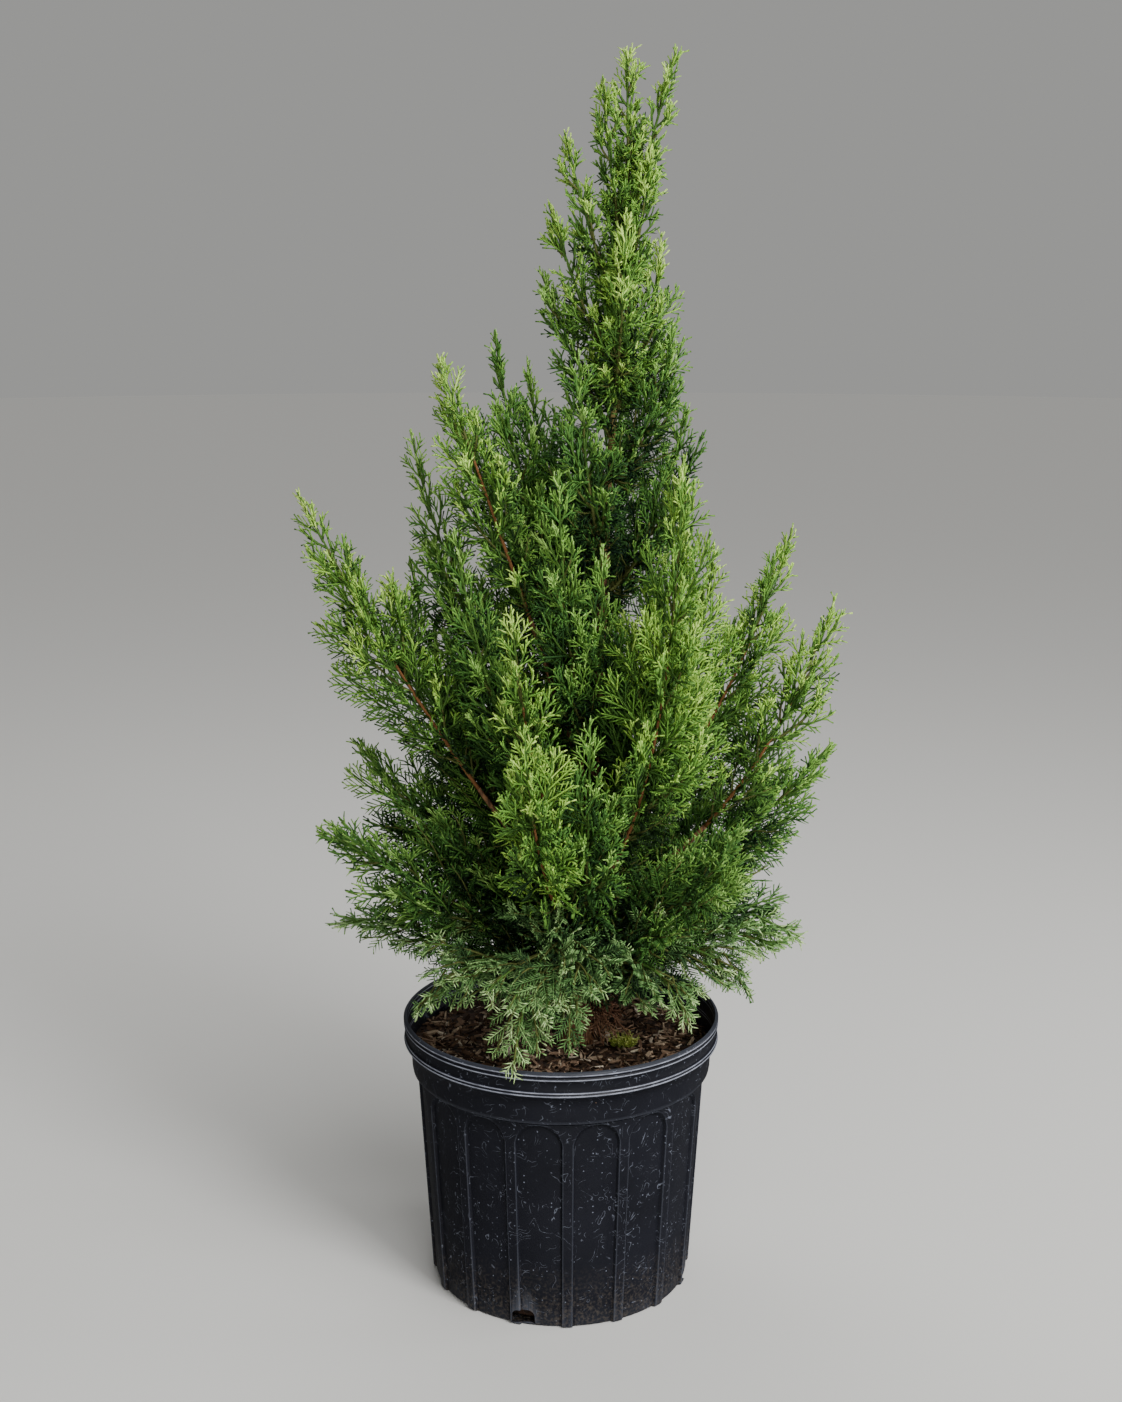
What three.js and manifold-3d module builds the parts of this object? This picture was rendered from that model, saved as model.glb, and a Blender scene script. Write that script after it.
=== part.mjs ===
// A Blue Point Chinese juniper, about 0.8 m tall, in a number 3 nursery pot.
//
// Millimetres, +Z up. The origin is the centre of the pot's flat underside. The front of the plant
// faces -Y and its right side +X. Every turn is an angle in degrees about the vertical, from the front
// (0) round to the right (90), with the left side at -90 and the back at 180.
import * as THREE from "three";
import { mergeVertices } from "three/addons/utils/BufferGeometryUtils.js";
import Module from "manifold-3d";

const wasm = await Module();
wasm.setup();

// The gap between pieces that touch.
const CLEAR = 0.3;

// The pot is moulded with a rolled lip, a groove and a bead, a collar under them, and below the collar
// a tapering wall with sunk panels under round arches. Four drain holes open at the foot.
const POT = {
  height: 242.5,
  lipRadius: 138.3,
  beadRadius: 137.8,
  grooveRadius: 136.6,
  collarRadius: 131.5,
  collarFoot: 195,
  collarRise: 16,
  beadRise: 26,
  beadBand: 6,
  grooveBand: 4,
  mouthRise: 24,
  edge: 2.5,
  wallTopRadius: 126.6,
  footRadius: 115.2,
  wall: 3.2,
  floor: 3,
  facets: 32,
};
const PANELS = { count: 16, firstTurn: -8.6, spread: 18.3, depth: 1.5, crown: 191 };
const DRAINS = { count: 4, firstTurn: -16.5, width: 20, height: 11, arcRadius: 6 };
const SOIL = { top: 214, facets: 16 };

// The trunk leans to the right, flares at its foot and thins to the leader's tip.
const TRUNK = {
  foot: new THREE.Vector3(14, 0, SOIL.top + CLEAR),
  head: new THREE.Vector3(54, 0, 945),
  bow: -2.5,
  footRadius: 9.5,
  headRadius: 1.4,
  taper: 1.25,
  flare: 5.6,
  flareHeight: 12,
  sides: 8,
  steps: 9,
};

// One row for each limb of the crown, by the colour of its foliage and from the top down.
// from: the height where it leaves the trunk; turn; reach: from the trunk's axis there to its tip, seen
// from above; top: the height of its tip; knee: how far out and how far up its bend lies; girth: the
// radius of its foliage; bare: the share of its length that is a bare bough, left out where the mass's
// own stem meets the trunk; core: a dense mass, with a slim core.
const LIMBS = {
  bright: [
    { name: "leader_tip", from: 940, turn: -90, reach: 2, top: 1048, knee: [0, 50], girth: 15 },
    { name: "leader_fork", from: 912, turn: 90, reach: 39, top: 1048, knee: [16, 50], girth: 14 },
    { name: "leader_left_top", from: 890, turn: -75, reach: 18, top: 1026, knee: [12, 55], girth: 17 },
    { name: "leader_right_upper", from: 858, turn: 66, reach: 24, top: 979, knee: [20, 45], girth: 16 },
    { name: "leader_left_upper", from: 842, turn: -84, reach: 45, top: 985, knee: [26, 62], girth: 18 },
    { name: "leader_back", from: 800, turn: 176, reach: 42, top: 940, knee: [30, 45], girth: 25 },
    { name: "leader_left_mid", from: 790, turn: -80, reach: 55, top: 929, knee: [30, 60], girth: 21 },
    { name: "leader_front", from: 772, turn: 10, reach: 41, top: 924, knee: [30, 45], girth: 23 },
    { name: "leader_right_mid", from: 762, turn: 92, reach: 38, top: 906, knee: [30, 45], girth: 22 },
    { name: "flank_front", from: 440, turn: -66, reach: 134, top: 811, knee: [66, 185], girth: 30,
      bare: 0.42 },
    { name: "flame_side", from: 388, turn: 68, reach: 110, top: 660, knee: [92, 80], girth: 38,
      core: true },
    { name: "wing_right", from: 366, turn: 94, reach: 173, top: 667, knee: [114, 100], girth: 30,
      bare: 0.34 },
    { name: "centre_small", from: 356, turn: -34, reach: 108, top: 617, knee: [84, 80], girth: 26,
      bare: 0.34 },
    { name: "flame", from: 342, turn: 37, reach: 124, top: 737, knee: [113, 90], girth: 50,
      bare: 0.24, core: true },
    { name: "wing_right_low", from: 330, turn: 80, reach: 208, top: 615, knee: [148, 84], girth: 32,
      bare: 0.4 },
    { name: "wing_left", from: 326, turn: -83, reach: 236, top: 702, knee: [130, 158], girth: 42,
      bare: 0.36 },
    { name: "apron_front", from: 306, turn: -20, reach: 138, top: 529, knee: [116, 62], girth: 40,
      bare: 0.24, core: true },
  ],
  green: [
    { name: "leader_left_low", from: 740, turn: -103, reach: 60, top: 877, knee: [30, 66], girth: 20 },
    { name: "leader_right_low", from: 705, turn: 76, reach: 52, top: 835, knee: [38, 36], girth: 29 },
    { name: "shoulder_front", from: 640, turn: -28, reach: 47, top: 815, knee: [36, 56], girth: 31 },
    { name: "shoulder_right", from: 610, turn: 94, reach: 68, top: 770, knee: [50, 36], girth: 29 },
    { name: "shoulder_left", from: 590, turn: -112, reach: 66, top: 806, knee: [46, 70], girth: 40 },
    { name: "back_tall", from: 560, turn: 172, reach: 84, top: 800, knee: [62, 80], girth: 34 },
    { name: "flank_tall", from: 535, turn: -88, reach: 84, top: 829, knee: [60, 104], girth: 43 },
    { name: "column_front", from: 480, turn: 6, reach: 60, top: 662, knee: [52, 44], girth: 31 },
    { name: "centre_front", from: 470, turn: -22, reach: 78, top: 722, knee: [62, 80], girth: 30 },
    { name: "back_left", from: 425, turn: -142, reach: 128, top: 720, knee: [92, 95], girth: 38,
      bare: 0.26 },
    { name: "back_right", from: 410, turn: 138, reach: 128, top: 690, knee: [94, 90], girth: 38 },
    { name: "flank_left", from: 398, turn: -98, reach: 150, top: 746, knee: [98, 120], girth: 44 },
    { name: "flank_inner", from: 374, turn: -60, reach: 124, top: 675, knee: [90, 95], girth: 31 },
    { name: "wing_left_back", from: 350, turn: -106, reach: 156, top: 636, knee: [122, 84], girth: 32 },
    { name: "back_mid", from: 345, turn: 176, reach: 165, top: 600, knee: [124, 84], girth: 42 },
    { name: "arm_right", from: 302, turn: 96, reach: 216, top: 478, knee: [134, 76], girth: 44 },
    { name: "apron_centre", from: 318, turn: 2, reach: 112, top: 530, knee: [94, 62], girth: 36 },
  ],
  blue: [
    { name: "back_low_left", from: 318, turn: -132, reach: 192, top: 530, knee: [128, 80], girth: 40,
      core: true },
    { name: "back_low_right", from: 312, turn: 128, reach: 192, top: 515, knee: [128, 80], girth: 40,
      core: true },
    { name: "arm_left", from: 300, turn: -98, reach: 195, top: 480, knee: [122, 84], girth: 50 },
    { name: "apron_right", from: 288, turn: 54, reach: 160, top: 440, knee: [110, 64], girth: 42,
      core: true },
    { name: "arm_left_low", from: 282, turn: -80, reach: 224, top: 420, knee: [132, 78], girth: 48 },
    { name: "arm_right_low", from: 278, turn: 84, reach: 190, top: 318, knee: [114, 74], girth: 44 },
    { name: "skirt_right", from: 272, turn: 66, reach: 158, top: 278, knee: [104, 84], girth: 37 },
    { name: "skirt_back_right", from: 270, turn: 124, reach: 182, top: 318, knee: [104, 64], girth: 38 },
    { name: "skirt_back", from: 262, turn: 178, reach: 168, top: 300, knee: [98, 70], girth: 36 },
    { name: "skirt_back_left", from: 274, turn: -150, reach: 182, top: 312, knee: [104, 64], girth: 38 },
    { name: "skirt_left", from: 262, turn: -90, reach: 217, top: 322, knee: [116, 70], girth: 33 },
    { name: "skirt_left_front", from: 268, turn: -56, reach: 166, top: 274, knee: [100, 80], girth: 40 },
    { name: "skirt_front", from: 292, turn: -22, reach: 153, top: 242, knee: [104, 82], girth: 44 },
    { name: "skirt_centre", from: 280, turn: -5, reach: 124, top: 254, knee: [88, 90], girth: 42 },
    { name: "skirt_front_right", from: 264, turn: 40, reach: 140, top: 268, knee: [94, 86], girth: 40 },
  ],
};

// How a mass is built: a three-sided stem, side sprays that lean forward off it, and a spray at its tip.
// The numbers with "At" are shares of the mass's length from its foot.
const MASS = {
  stemFootRadius: 2.6,
  stemHeadRadius: 1.1,
  stemEndAt: 0.93,
  sprayStep: 30,
  sprayCount: [4, 7],
  sprayLength: [54, 96],
  sprayLean: 27,
  sprayWidth: 0.54,
  sprayThickness: 3.4,
  firstSprayAt: 0.03,
  lastSprayAt: 0.79,
  tipSpray: 46,
  coreRadius: 0.45,
  coreFootAt: 0.22,
  coreHeadAt: 0.86,
  tries: 9,
};
const BOUGH = { footRadius: 3.5, headRadius: 2, sides: 5, steps: 4 };

const BARK = new THREE.MeshStandardMaterial({ color: 0x6e4b34, roughness: 0.9, metalness: 0 });
const RESIN = new THREE.MeshStandardMaterial({ color: 0x22252b, roughness: 0.5, metalness: 0 });
const POTTING_BARK = new THREE.MeshStandardMaterial({ color: 0x4b382b, roughness: 1, metalness: 0 });
const NEEDLES = {
  bright: new THREE.MeshStandardMaterial({ color: 0x7c9a45, roughness: 0.75, metalness: 0 }),
  green: new THREE.MeshStandardMaterial({ color: 0x567833, roughness: 0.75, metalness: 0 }),
  blue: new THREE.MeshStandardMaterial({ color: 0x56714a, roughness: 0.75, metalness: 0 }),
};

const UP = new THREE.Vector3(0, 0, 1);
const GOLDEN_TURN = Math.PI * (3 - Math.sqrt(5));
const { degToRad: radians, clamp, lerp } = THREE.MathUtils;

// A repeatable stream of numbers from 0 to 1.
function stream(seed) {
  let state = seed;
  return () => {
    state = (state * 1664525 + 1013904223) % 4294967296;
    return state / 4294967296;
  };
}

// The level direction at a turn.
function outward(turn) {
  return new THREE.Vector3(Math.sin(radians(turn)), -Math.cos(radians(turn)), 0);
}

// A closed geometry as a solid that can be joined and cut.
function solidOf(geometry) {
  geometry.deleteAttribute("normal");
  geometry.deleteAttribute("uv");
  const merged = mergeVertices(geometry, 1e-4);
  return new wasm.Manifold(
    new wasm.Mesh({
      numProp: 3,
      vertProperties: merged.attributes.position.array,
      triVerts: new Uint32Array(merged.index.array),
    }),
  );
}

// A solid as a named mesh. Loose scraps that a cut leaves are dropped.
function pieceOf(solid, name, material) {
  const bodies = solid.decompose();
  bodies.sort((a, b) => b.volume() - a.volume());
  const cut = bodies[0].getMesh();
  const geometry = new THREE.BufferGeometry();
  geometry.setAttribute("position", new THREE.BufferAttribute(new Float32Array(cut.vertProperties), 3));
  geometry.setIndex(new THREE.BufferAttribute(new Uint32Array(cut.triVerts), 1));
  geometry.computeVertexNormals();
  const mesh = new THREE.Mesh(geometry, material);
  mesh.name = name;
  return mesh;
}

// A round solid from its half profile, as radius and height pairs from the axis round to the axis.
function turned(profile, facets) {
  const points = profile.map(([radius, height]) => new THREE.Vector2(radius, height));
  const shape = new THREE.LatheGeometry(points, facets).rotateX(Math.PI / 2);
  return solidOf(shape.rotateZ(radians(PANELS.firstTurn + 180 / PANELS.count)));
}

// A tapering limb: a cylinder whose rings are laid along a curve that stays in one upright plane.
function limb(curve, side, radiusAt, sides, steps) {
  const geometry = new THREE.CylinderGeometry(1, 1, 1, sides, steps);
  const position = geometry.attributes.position;
  for (let i = 0; i < position.count; i++) {
    const t = position.getY(i) + 0.5;
    const across = new THREE.Vector3().crossVectors(side, curve.getTangent(t));
    const radius = radiusAt(t);
    const point = curve.getPoint(t);
    point.addScaledVector(side, position.getX(i) * radius);
    point.addScaledVector(across, position.getZ(i) * radius);
    position.setXYZ(i, point.x, point.y, point.z);
  }
  return solidOf(geometry);
}

// The pot's wall without its panels and holes.
function potShell() {
  const { height, lipRadius, beadRadius, grooveRadius, collarRadius, collarFoot, wallTopRadius } = POT;
  const { footRadius, wall, floor, collarRise, beadRise, beadBand, grooveBand, mouthRise, edge } = POT;
  const step = 2;
  const grooveFoot = collarFoot + beadRise + beadBand + step;
  const outside = [
    [0, 0],
    [footRadius - edge, 0],
    [footRadius, edge],
    [wallTopRadius, collarFoot - step],
    [collarRadius - 1.2, collarFoot + step],
    [collarRadius, collarFoot + collarRise],
    [beadRadius, collarFoot + beadRise],
    [beadRadius, grooveFoot - step],
    [grooveRadius, grooveFoot],
    [grooveRadius, grooveFoot + grooveBand],
    [lipRadius, grooveFoot + grooveBand + step],
    [lipRadius, height - 1],
    [lipRadius - 1.2, height],
  ];
  const inside = [
    [beadRadius - wall, height],
    [beadRadius - wall, collarFoot + mouthRise],
    [wallTopRadius - wall, collarFoot],
    [footRadius - wall, floor],
    [0, floor],
  ];
  return turned([...outside, ...inside], POT.facets);
}

// The outer radius of the pot's tapering wall at a height.
function wallRadius(height) {
  const share = (height - POT.edge) / (POT.collarFoot - 2 - POT.edge);
  return POT.footRadius + (POT.wallTopRadius - POT.footRadius) * share;
}

// A prism that stands out from the axis at a turn, from an outline across it and up it.
function spoke(outline, turn, inner, depth, curveSegments) {
  const prism = new THREE.ExtrudeGeometry(outline, { depth, bevelEnabled: false, curveSegments });
  const basis = new THREE.Matrix4().makeBasis(outward(turn + 90), UP, outward(turn));
  prism.translate(0, 0, inner);
  return solidOf(prism.applyMatrix4(basis));
}

// All the sunk panels as one cutter: arched prisms, kept to the band just under the wall's face.
function panelCutter() {
  const halfSpread = Math.tan(radians(PANELS.spread / 2));
  const archRadius = wallRadius(PANELS.crown) * halfSpread;
  const springing = PANELS.crown - archRadius;
  const footHalf = wallRadius(0) * halfSpread;
  const arch = new THREE.Shape();
  arch.moveTo(-footHalf, -5);
  arch.lineTo(footHalf, -5);
  arch.lineTo(archRadius, springing);
  arch.absarc(0, springing, archRadius, 0, Math.PI, false);
  const band = turned(
    [
      [wallRadius(-10) - PANELS.depth, -10],
      [wallRadius(-10) + 20, -10],
      [wallRadius(210) + 20, 210],
      [wallRadius(210) - PANELS.depth, 210],
      [wallRadius(-10) - PANELS.depth, -10],
    ],
    POT.facets,
  );
  const step = 360 / PANELS.count;
  let arches = null;
  for (let i = 0; i < PANELS.count; i++) {
    const prism = spoke(arch, PANELS.firstTurn + i * step, 90, 70, 2);
    arches = arches ? arches.add(prism) : prism;
  }
  return band.intersect(arches);
}

// The drain holes: low slots with round upper corners, through the wall at its foot.
function drainCutter() {
  const { width, height, arcRadius } = DRAINS;
  const springing = POT.floor + height - arcRadius;
  const hole = new THREE.Shape();
  hole.moveTo(-width / 2, POT.floor + 0.5);
  hole.lineTo(width / 2, POT.floor + 0.5);
  hole.lineTo(width / 2, springing);
  hole.absarc(width / 2 - arcRadius, springing, arcRadius, 0, Math.PI / 2, false);
  hole.absarc(arcRadius - width / 2, springing, arcRadius, Math.PI / 2, Math.PI, false);
  let holes = null;
  for (let i = 0; i < DRAINS.count; i++) {
    const prism = spoke(hole, DRAINS.firstTurn + (i * 360) / DRAINS.count, 100, 40, 1);
    holes = holes ? holes.add(prism) : prism;
  }
  return holes;
}

// The potting bark fills the pot to its own level, just clear of the wall.
function soilBody() {
  const { wall, floor, wallTopRadius, beadRadius, collarFoot, mouthRise, footRadius } = POT;
  const flare = ((beadRadius - wallTopRadius) * (SOIL.top - collarFoot)) / mouthRise;
  return turned(
    [
      [0, floor + CLEAR],
      [footRadius - wall - CLEAR, floor + CLEAR],
      [wallTopRadius - wall - CLEAR, collarFoot],
      [wallTopRadius - wall - CLEAR + flare, SOIL.top],
      [0, SOIL.top],
    ],
    SOIL.facets,
  );
}

// The trunk's axis, straight in height and slightly bowed sideways.
const trunkAxis = new THREE.QuadraticBezierCurve3(
  TRUNK.foot,
  TRUNK.foot.clone().add(TRUNK.head).multiplyScalar(0.5).add(new THREE.Vector3(TRUNK.bow, 0, 0)),
  TRUNK.head,
);

// The share of the trunk's height at a height.
function upTrunk(height) {
  return (height - TRUNK.foot.z) / (TRUNK.head.z - TRUNK.foot.z);
}

// The trunk's radius at a share of its height.
function trunkRadius(share) {
  const rise = (TRUNK.head.z - TRUNK.foot.z) * share;
  const flare = TRUNK.flare * Math.exp(-rise / TRUNK.flareHeight);
  return lerp(TRUNK.headRadius, TRUNK.footRadius, (1 - share) ** TRUNK.taper) + flare;
}

// The trunk with level rings, or with a skin the space that its neighbours keep out of.
function trunkBody(skin) {
  const axis = trunkAxis.clone();
  axis.v2 = TRUNK.head.clone().addScaledVector(UP, skin);
  axis.getTangent = () => UP;
  return limb(axis, new THREE.Vector3(0, 1, 0), (t) => trunkRadius(t) + skin, TRUNK.sides, TRUNK.steps);
}

// The whole line of a limb: out of the trunk, round its knee and up or down to its tip.
function limbLine({ from, turn, reach, top, knee }) {
  const start = trunkAxis.getPoint(upTrunk(from));
  const out = outward(turn);
  const bend = start.clone().addScaledVector(out, knee[0]).addScaledVector(UP, knee[1]);
  const tip = start.clone().addScaledVector(out, reach).setZ(top);
  return new THREE.QuadraticBezierCurve3(start, bend, tip);
}

// The stretch of a limb's line from one share of it to another.
function stretch(line, first, last) {
  const part = new THREE.Curve();
  part.getPoint = (t) => line.getPoint(first + (last - first) * t);
  part.getTangent = (t) => line.getTangent(first + (last - first) * t);
  return part;
}

// A flat spray of foliage: a blade with a pair of teeth, thickest at its middle.
function spray(root, along, face, length, width, thickness) {
  const side = new THREE.Vector3().crossVectors(face, along).normalize();
  const across = new THREE.Vector3().crossVectors(along, side).normalize();
  const half = [
    [0.42, 0.5],
    [0.6, 0.17],
  ];
  const outline = [
    [0, 0],
    ...half.map(([u, w]) => [u, -w]),
    [1, 0],
    ...half.map(([u, w]) => [u, w]).reverse(),
  ];
  const at = (u, w, h) =>
    root
      .clone()
      .addScaledVector(along, u * length)
      .addScaledVector(side, w * width)
      .addScaledVector(across, h);
  const points = outline.map(([u, w]) => at(u, w, 0));
  const ridge = 0.4;
  points.push(at(ridge, 0, thickness / 2), at(ridge, 0, -thickness / 2));
  const count = outline.length;
  const faces = [];
  for (let i = 0; i < count; i++) {
    const next = (i + 1) % count;
    faces.push(i, next, count, next, i, count + 1);
  }
  const geometry = new THREE.BufferGeometry().setFromPoints(points);
  geometry.setIndex(faces);
  return solidOf(geometry);
}

// The share of its full girth that a mass has at a share of its length.
function fullness(share) {
  return Math.min(1, 0.35 + 2.2 * share) * Math.min(1, 1.55 * (1 - share) ** 0.75);
}

// Two solids' boxes overlap.
function boxesMeet(a, b) {
  return [0, 1, 2].every((axis) => a.min[axis] < b.max[axis] && b.min[axis] < a.max[axis]);
}

// The space taken so far, as solids with their owners.
const taken = [];

function take(owner, solid) {
  taken.push({ owner, solid, box: solid.boundingBox() });
}

// A solid touches nothing but its owner's own pieces.
function isFree(owner, solid) {
  const box = solid.boundingBox();
  return taken.every((other) => {
    if (other.owner === owner || !boxesMeet(box, other.box)) return true;
    const common = solid.intersect(other.solid);
    const free = common.isEmpty();
    common.delete();
    return free;
  });
}

const pot = potShell().subtract(panelCutter()).subtract(drainCutter());
const soil = soilBody();
const trunk = trunkBody(0);
const trunkSpace = trunkBody(CLEAR);
take("pot", pot);
take("soil", soil);
take("trunk", trunk);

// Every limb's bough and stem take their places before any foliage grows.
const rows = Object.entries(LIMBS).flatMap(([tint, list]) => list.map((row) => ({ ...row, tint })));
const masses = rows.map((row, index) => {
  const line = limbLine(row);
  const length = line.getLength();
  const side = outward(row.turn + 90);
  const mass = { ...row, line, side, foot: 0, random: stream(index * 7919 + 17) };
  let footRadius = Math.min(MASS.stemFootRadius, 0.8 * trunkRadius(upTrunk(row.from)));
  if (row.bare) {
    const radiusAt = (t) => lerp(BOUGH.footRadius, BOUGH.headRadius, t);
    mass.bough = limb(stretch(line, 0, row.bare), side, radiusAt, BOUGH.sides, BOUGH.steps);
    mass.bough = mass.bough.subtract(trunkSpace);
    take(row.name + "_bough", mass.bough);
    mass.foot = row.bare + (1.4 * CLEAR) / length;
    footRadius = 0.85 * BOUGH.headRadius;
  }
  mass.span = (1 - mass.foot) * length;
  const stemAt = (t) => lerp(footRadius, MASS.stemHeadRadius, t);
  mass.body = limb(stretch(line, mass.foot, MASS.stemEndAt), side, stemAt, 3, 3).subtract(trunkSpace);
  take(row.name, mass.body);
  return mass;
});

// A dense mass has a slim core round its stem, as wide as its neighbours leave room for.
for (const mass of masses.filter((each) => each.core)) {
  const core = stretch(
    mass.line,
    lerp(mass.foot, 1, MASS.coreFootAt),
    lerp(mass.foot, 1, MASS.coreHeadAt),
  );
  for (const share of [1, 0.75, 0.5]) {
    const radius = mass.girth * MASS.coreRadius * share;
    const swell = (t) => 0.6 + radius * Math.sin(Math.PI * (0.06 + 0.88 * t)) ** 0.8;
    if (!isFree(mass.name, limb(core, mass.side, (t) => swell(t) + 0.5, 5, 2))) continue;
    const solid = limb(core, mass.side, swell, 5, 2);
    mass.body = mass.body.add(solid);
    take(mass.name, solid);
    break;
  }
}

// Fuses a spray on to a mass if a slightly larger one touches no other piece.
function addSpray(mass, root, along, face, length) {
  const width = length * MASS.sprayWidth;
  const grown = spray(root, along, face, length + 1, width + 1.6, MASS.sprayThickness + 1);
  if (!isFree(mass.name, grown)) return false;
  const solid = spray(root, along, face, length, width, MASS.sprayThickness);
  mass.body = mass.body.add(solid);
  take(mass.name, solid);
  return true;
}

// The spray at the tip carries each mass to its full reach.
for (const mass of masses) {
  const along = mass.line.getTangent(1);
  const length = Math.min(MASS.tipSpray, 0.3 * mass.span);
  const root = mass.line.getPoint(1).addScaledVector(along, -length);
  const face = mass.side.clone().applyAxisAngle(along, mass.random() * Math.PI);
  addSpray(mass, root, along, face, length);
}

// Tries one side spray: its place, lean and turn round the stem come from the rule and the seed.
function trySideSpray(mass, round, wanted, attempt) {
  const step = (round + 0.8 * mass.random()) / wanted;
  const share = lerp(MASS.firstSprayAt, MASS.lastSprayAt, step);
  const place = lerp(mass.foot, 1, share);
  const forward = mass.line.getTangent(place);
  const lean = radians(MASS.sprayLean + 14 * (mass.random() - 0.5) - 10 * share);
  const room = mass.girth * fullness(Math.min(0.97, share + (0.7 * mass.girth) / mass.span));
  const fair = clamp(room / Math.sin(lean), ...MASS.sprayLength) * (1 - 0.06 * attempt);
  const length = Math.min(fair, (1.05 - share) * mass.span);
  const spin = round * GOLDEN_TURN + 0.7 * attempt + 0.5 * mass.random();
  const away = mass.side.clone().applyAxisAngle(forward, spin);
  const along = forward.clone().multiplyScalar(Math.cos(lean)).addScaledVector(away, Math.sin(lean));
  const face = new THREE.Vector3().crossVectors(forward, away);
  face.applyAxisAngle(along, 1.1 * (mass.random() - 0.5) + Math.PI / 2);
  return addSpray(mass, mass.line.getPoint(place), along, face, length);
}

// The side sprays grow in rounds, one on each mass in turn, so that neighbours share the room evenly.
for (let round = 0; round < MASS.sprayCount[1]; round++) {
  for (const mass of masses) {
    const wanted = clamp(Math.round(mass.span / MASS.sprayStep), ...MASS.sprayCount);
    for (let attempt = 0; round < wanted && attempt < MASS.tries; attempt++) {
      if (trySideSpray(mass, round, wanted, attempt)) break;
    }
  }
}

const plant = new THREE.Group();
plant.add(pieceOf(pot, "pot", RESIN));
plant.add(pieceOf(soil, "potting_bark", POTTING_BARK));
plant.add(pieceOf(trunk, "trunk", BARK));
for (const mass of masses) {
  if (mass.bough) plant.add(pieceOf(mass.bough, "bough_" + mass.name, BARK));
  plant.add(pieceOf(mass.body, "mass_" + mass.name, NEEDLES[mass.tint]));
}

export default plant;
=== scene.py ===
import math
from collections import namedtuple

import bpy
import numpy as np
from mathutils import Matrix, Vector, noise


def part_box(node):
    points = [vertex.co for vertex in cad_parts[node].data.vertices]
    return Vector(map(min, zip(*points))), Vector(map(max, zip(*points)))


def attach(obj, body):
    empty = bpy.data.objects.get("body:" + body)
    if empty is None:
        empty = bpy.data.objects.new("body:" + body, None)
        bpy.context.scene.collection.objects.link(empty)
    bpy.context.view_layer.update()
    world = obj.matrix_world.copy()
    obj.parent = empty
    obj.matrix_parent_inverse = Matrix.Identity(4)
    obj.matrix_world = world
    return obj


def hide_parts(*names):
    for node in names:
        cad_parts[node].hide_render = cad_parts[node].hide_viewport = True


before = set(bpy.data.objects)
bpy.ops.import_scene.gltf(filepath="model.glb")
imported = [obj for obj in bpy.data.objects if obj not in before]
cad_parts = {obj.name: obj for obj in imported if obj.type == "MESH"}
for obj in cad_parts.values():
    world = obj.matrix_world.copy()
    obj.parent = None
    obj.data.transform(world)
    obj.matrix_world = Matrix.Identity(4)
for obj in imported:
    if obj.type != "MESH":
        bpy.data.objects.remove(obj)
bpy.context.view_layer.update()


# The nursery pot
# A number 3 growing container of black high-density polyethylene, injection moulded in one piece:
# a rolled lip, a groove, a bead and a collar over a tapering wall with sunk panels under round arches,
# and four drain holes at the foot. It carries everything else.

# Here and below, lengths are in metres and turns in degrees, unless a comment says otherwise.
POT_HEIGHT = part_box("pot")[1].z
LIP_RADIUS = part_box("pot")[1].x
WALL_FOOT_RADIUS = 0.1152
WALL_TOP_RADIUS = 0.1266
WALL_TOP = 0.193
WALL_EDGE = 0.0025
WALL_THICKNESS = 0.0032
MOUTH_RADIUS = 0.1346
PANEL_COUNT = 16
PANEL_FIRST_TURN = -8.6
PANEL_HALF_SPREAD = 9.25
PANEL_CROWN = 0.191
PANEL_DEPTH = 0.0027
PANEL_SLOPE = 0.0017
HALF_PANEL_TURNS = [1.6, 3.2, 4.6, 5.8, 6.8, 7.6, 8.2, 8.4, 8.6, 8.8, 9.0, 9.25, 9.7]
DRAIN_COUNT = 4
DRAIN_FIRST_TURN = -16.5
DRAIN_WIDTH = 0.020
DRAIN_HEIGHT = 0.012
DRAIN_FOOT = 0.0024
DRAIN_CORNER = 0.006
SCUFF_PLACE = (0.042, -0.113, 0.118)
# The heights and the half width of four painted highlight lines on the bead and the lip.
PAINTED_HIGHLIGHT_LINES = (0.2217, 0.2243, 0.2358, 0.2398)
PAINTED_HIGHLIGHT_HALF_WIDTH = 0.0005


def linear(code):
    """The linear red, green, blue and alpha of an sRGB hex colour."""
    channels = [int(code[i : i + 2], 16) / 255 for i in (1, 3, 5)]
    light = [c / 12.92 if c <= 0.04045 else ((c + 0.055) / 1.055) ** 2.4 for c in channels]
    return (*light, 1.0)


def add_node(tree, kind, inputs=None, **settings):
    """Adds a node with its settings, and gives each named input a value or a link."""
    node = tree.nodes.new(kind)
    for name, value in settings.items():
        setattr(node, name, value)
    for name, value in (inputs or {}).items():
        if isinstance(value, bpy.types.NodeSocket):
            tree.links.new(value, node.inputs[name])
        else:
            node.inputs[name].default_value = value
    return node


def new_material(name):
    """An empty node material, with its tree and its surface shader."""
    material = bpy.data.materials.new(name)
    material.use_nodes = True
    tree = material.node_tree
    return material, tree, tree.nodes["Principled BSDF"]


def wall_radius(height):
    """The outer radius of the pot's tapering wall."""
    share = (height - WALL_EDGE) / (WALL_TOP - WALL_EDGE)
    return WALL_FOOT_RADIUS + (WALL_TOP_RADIUS - WALL_FOOT_RADIUS) * share


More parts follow.
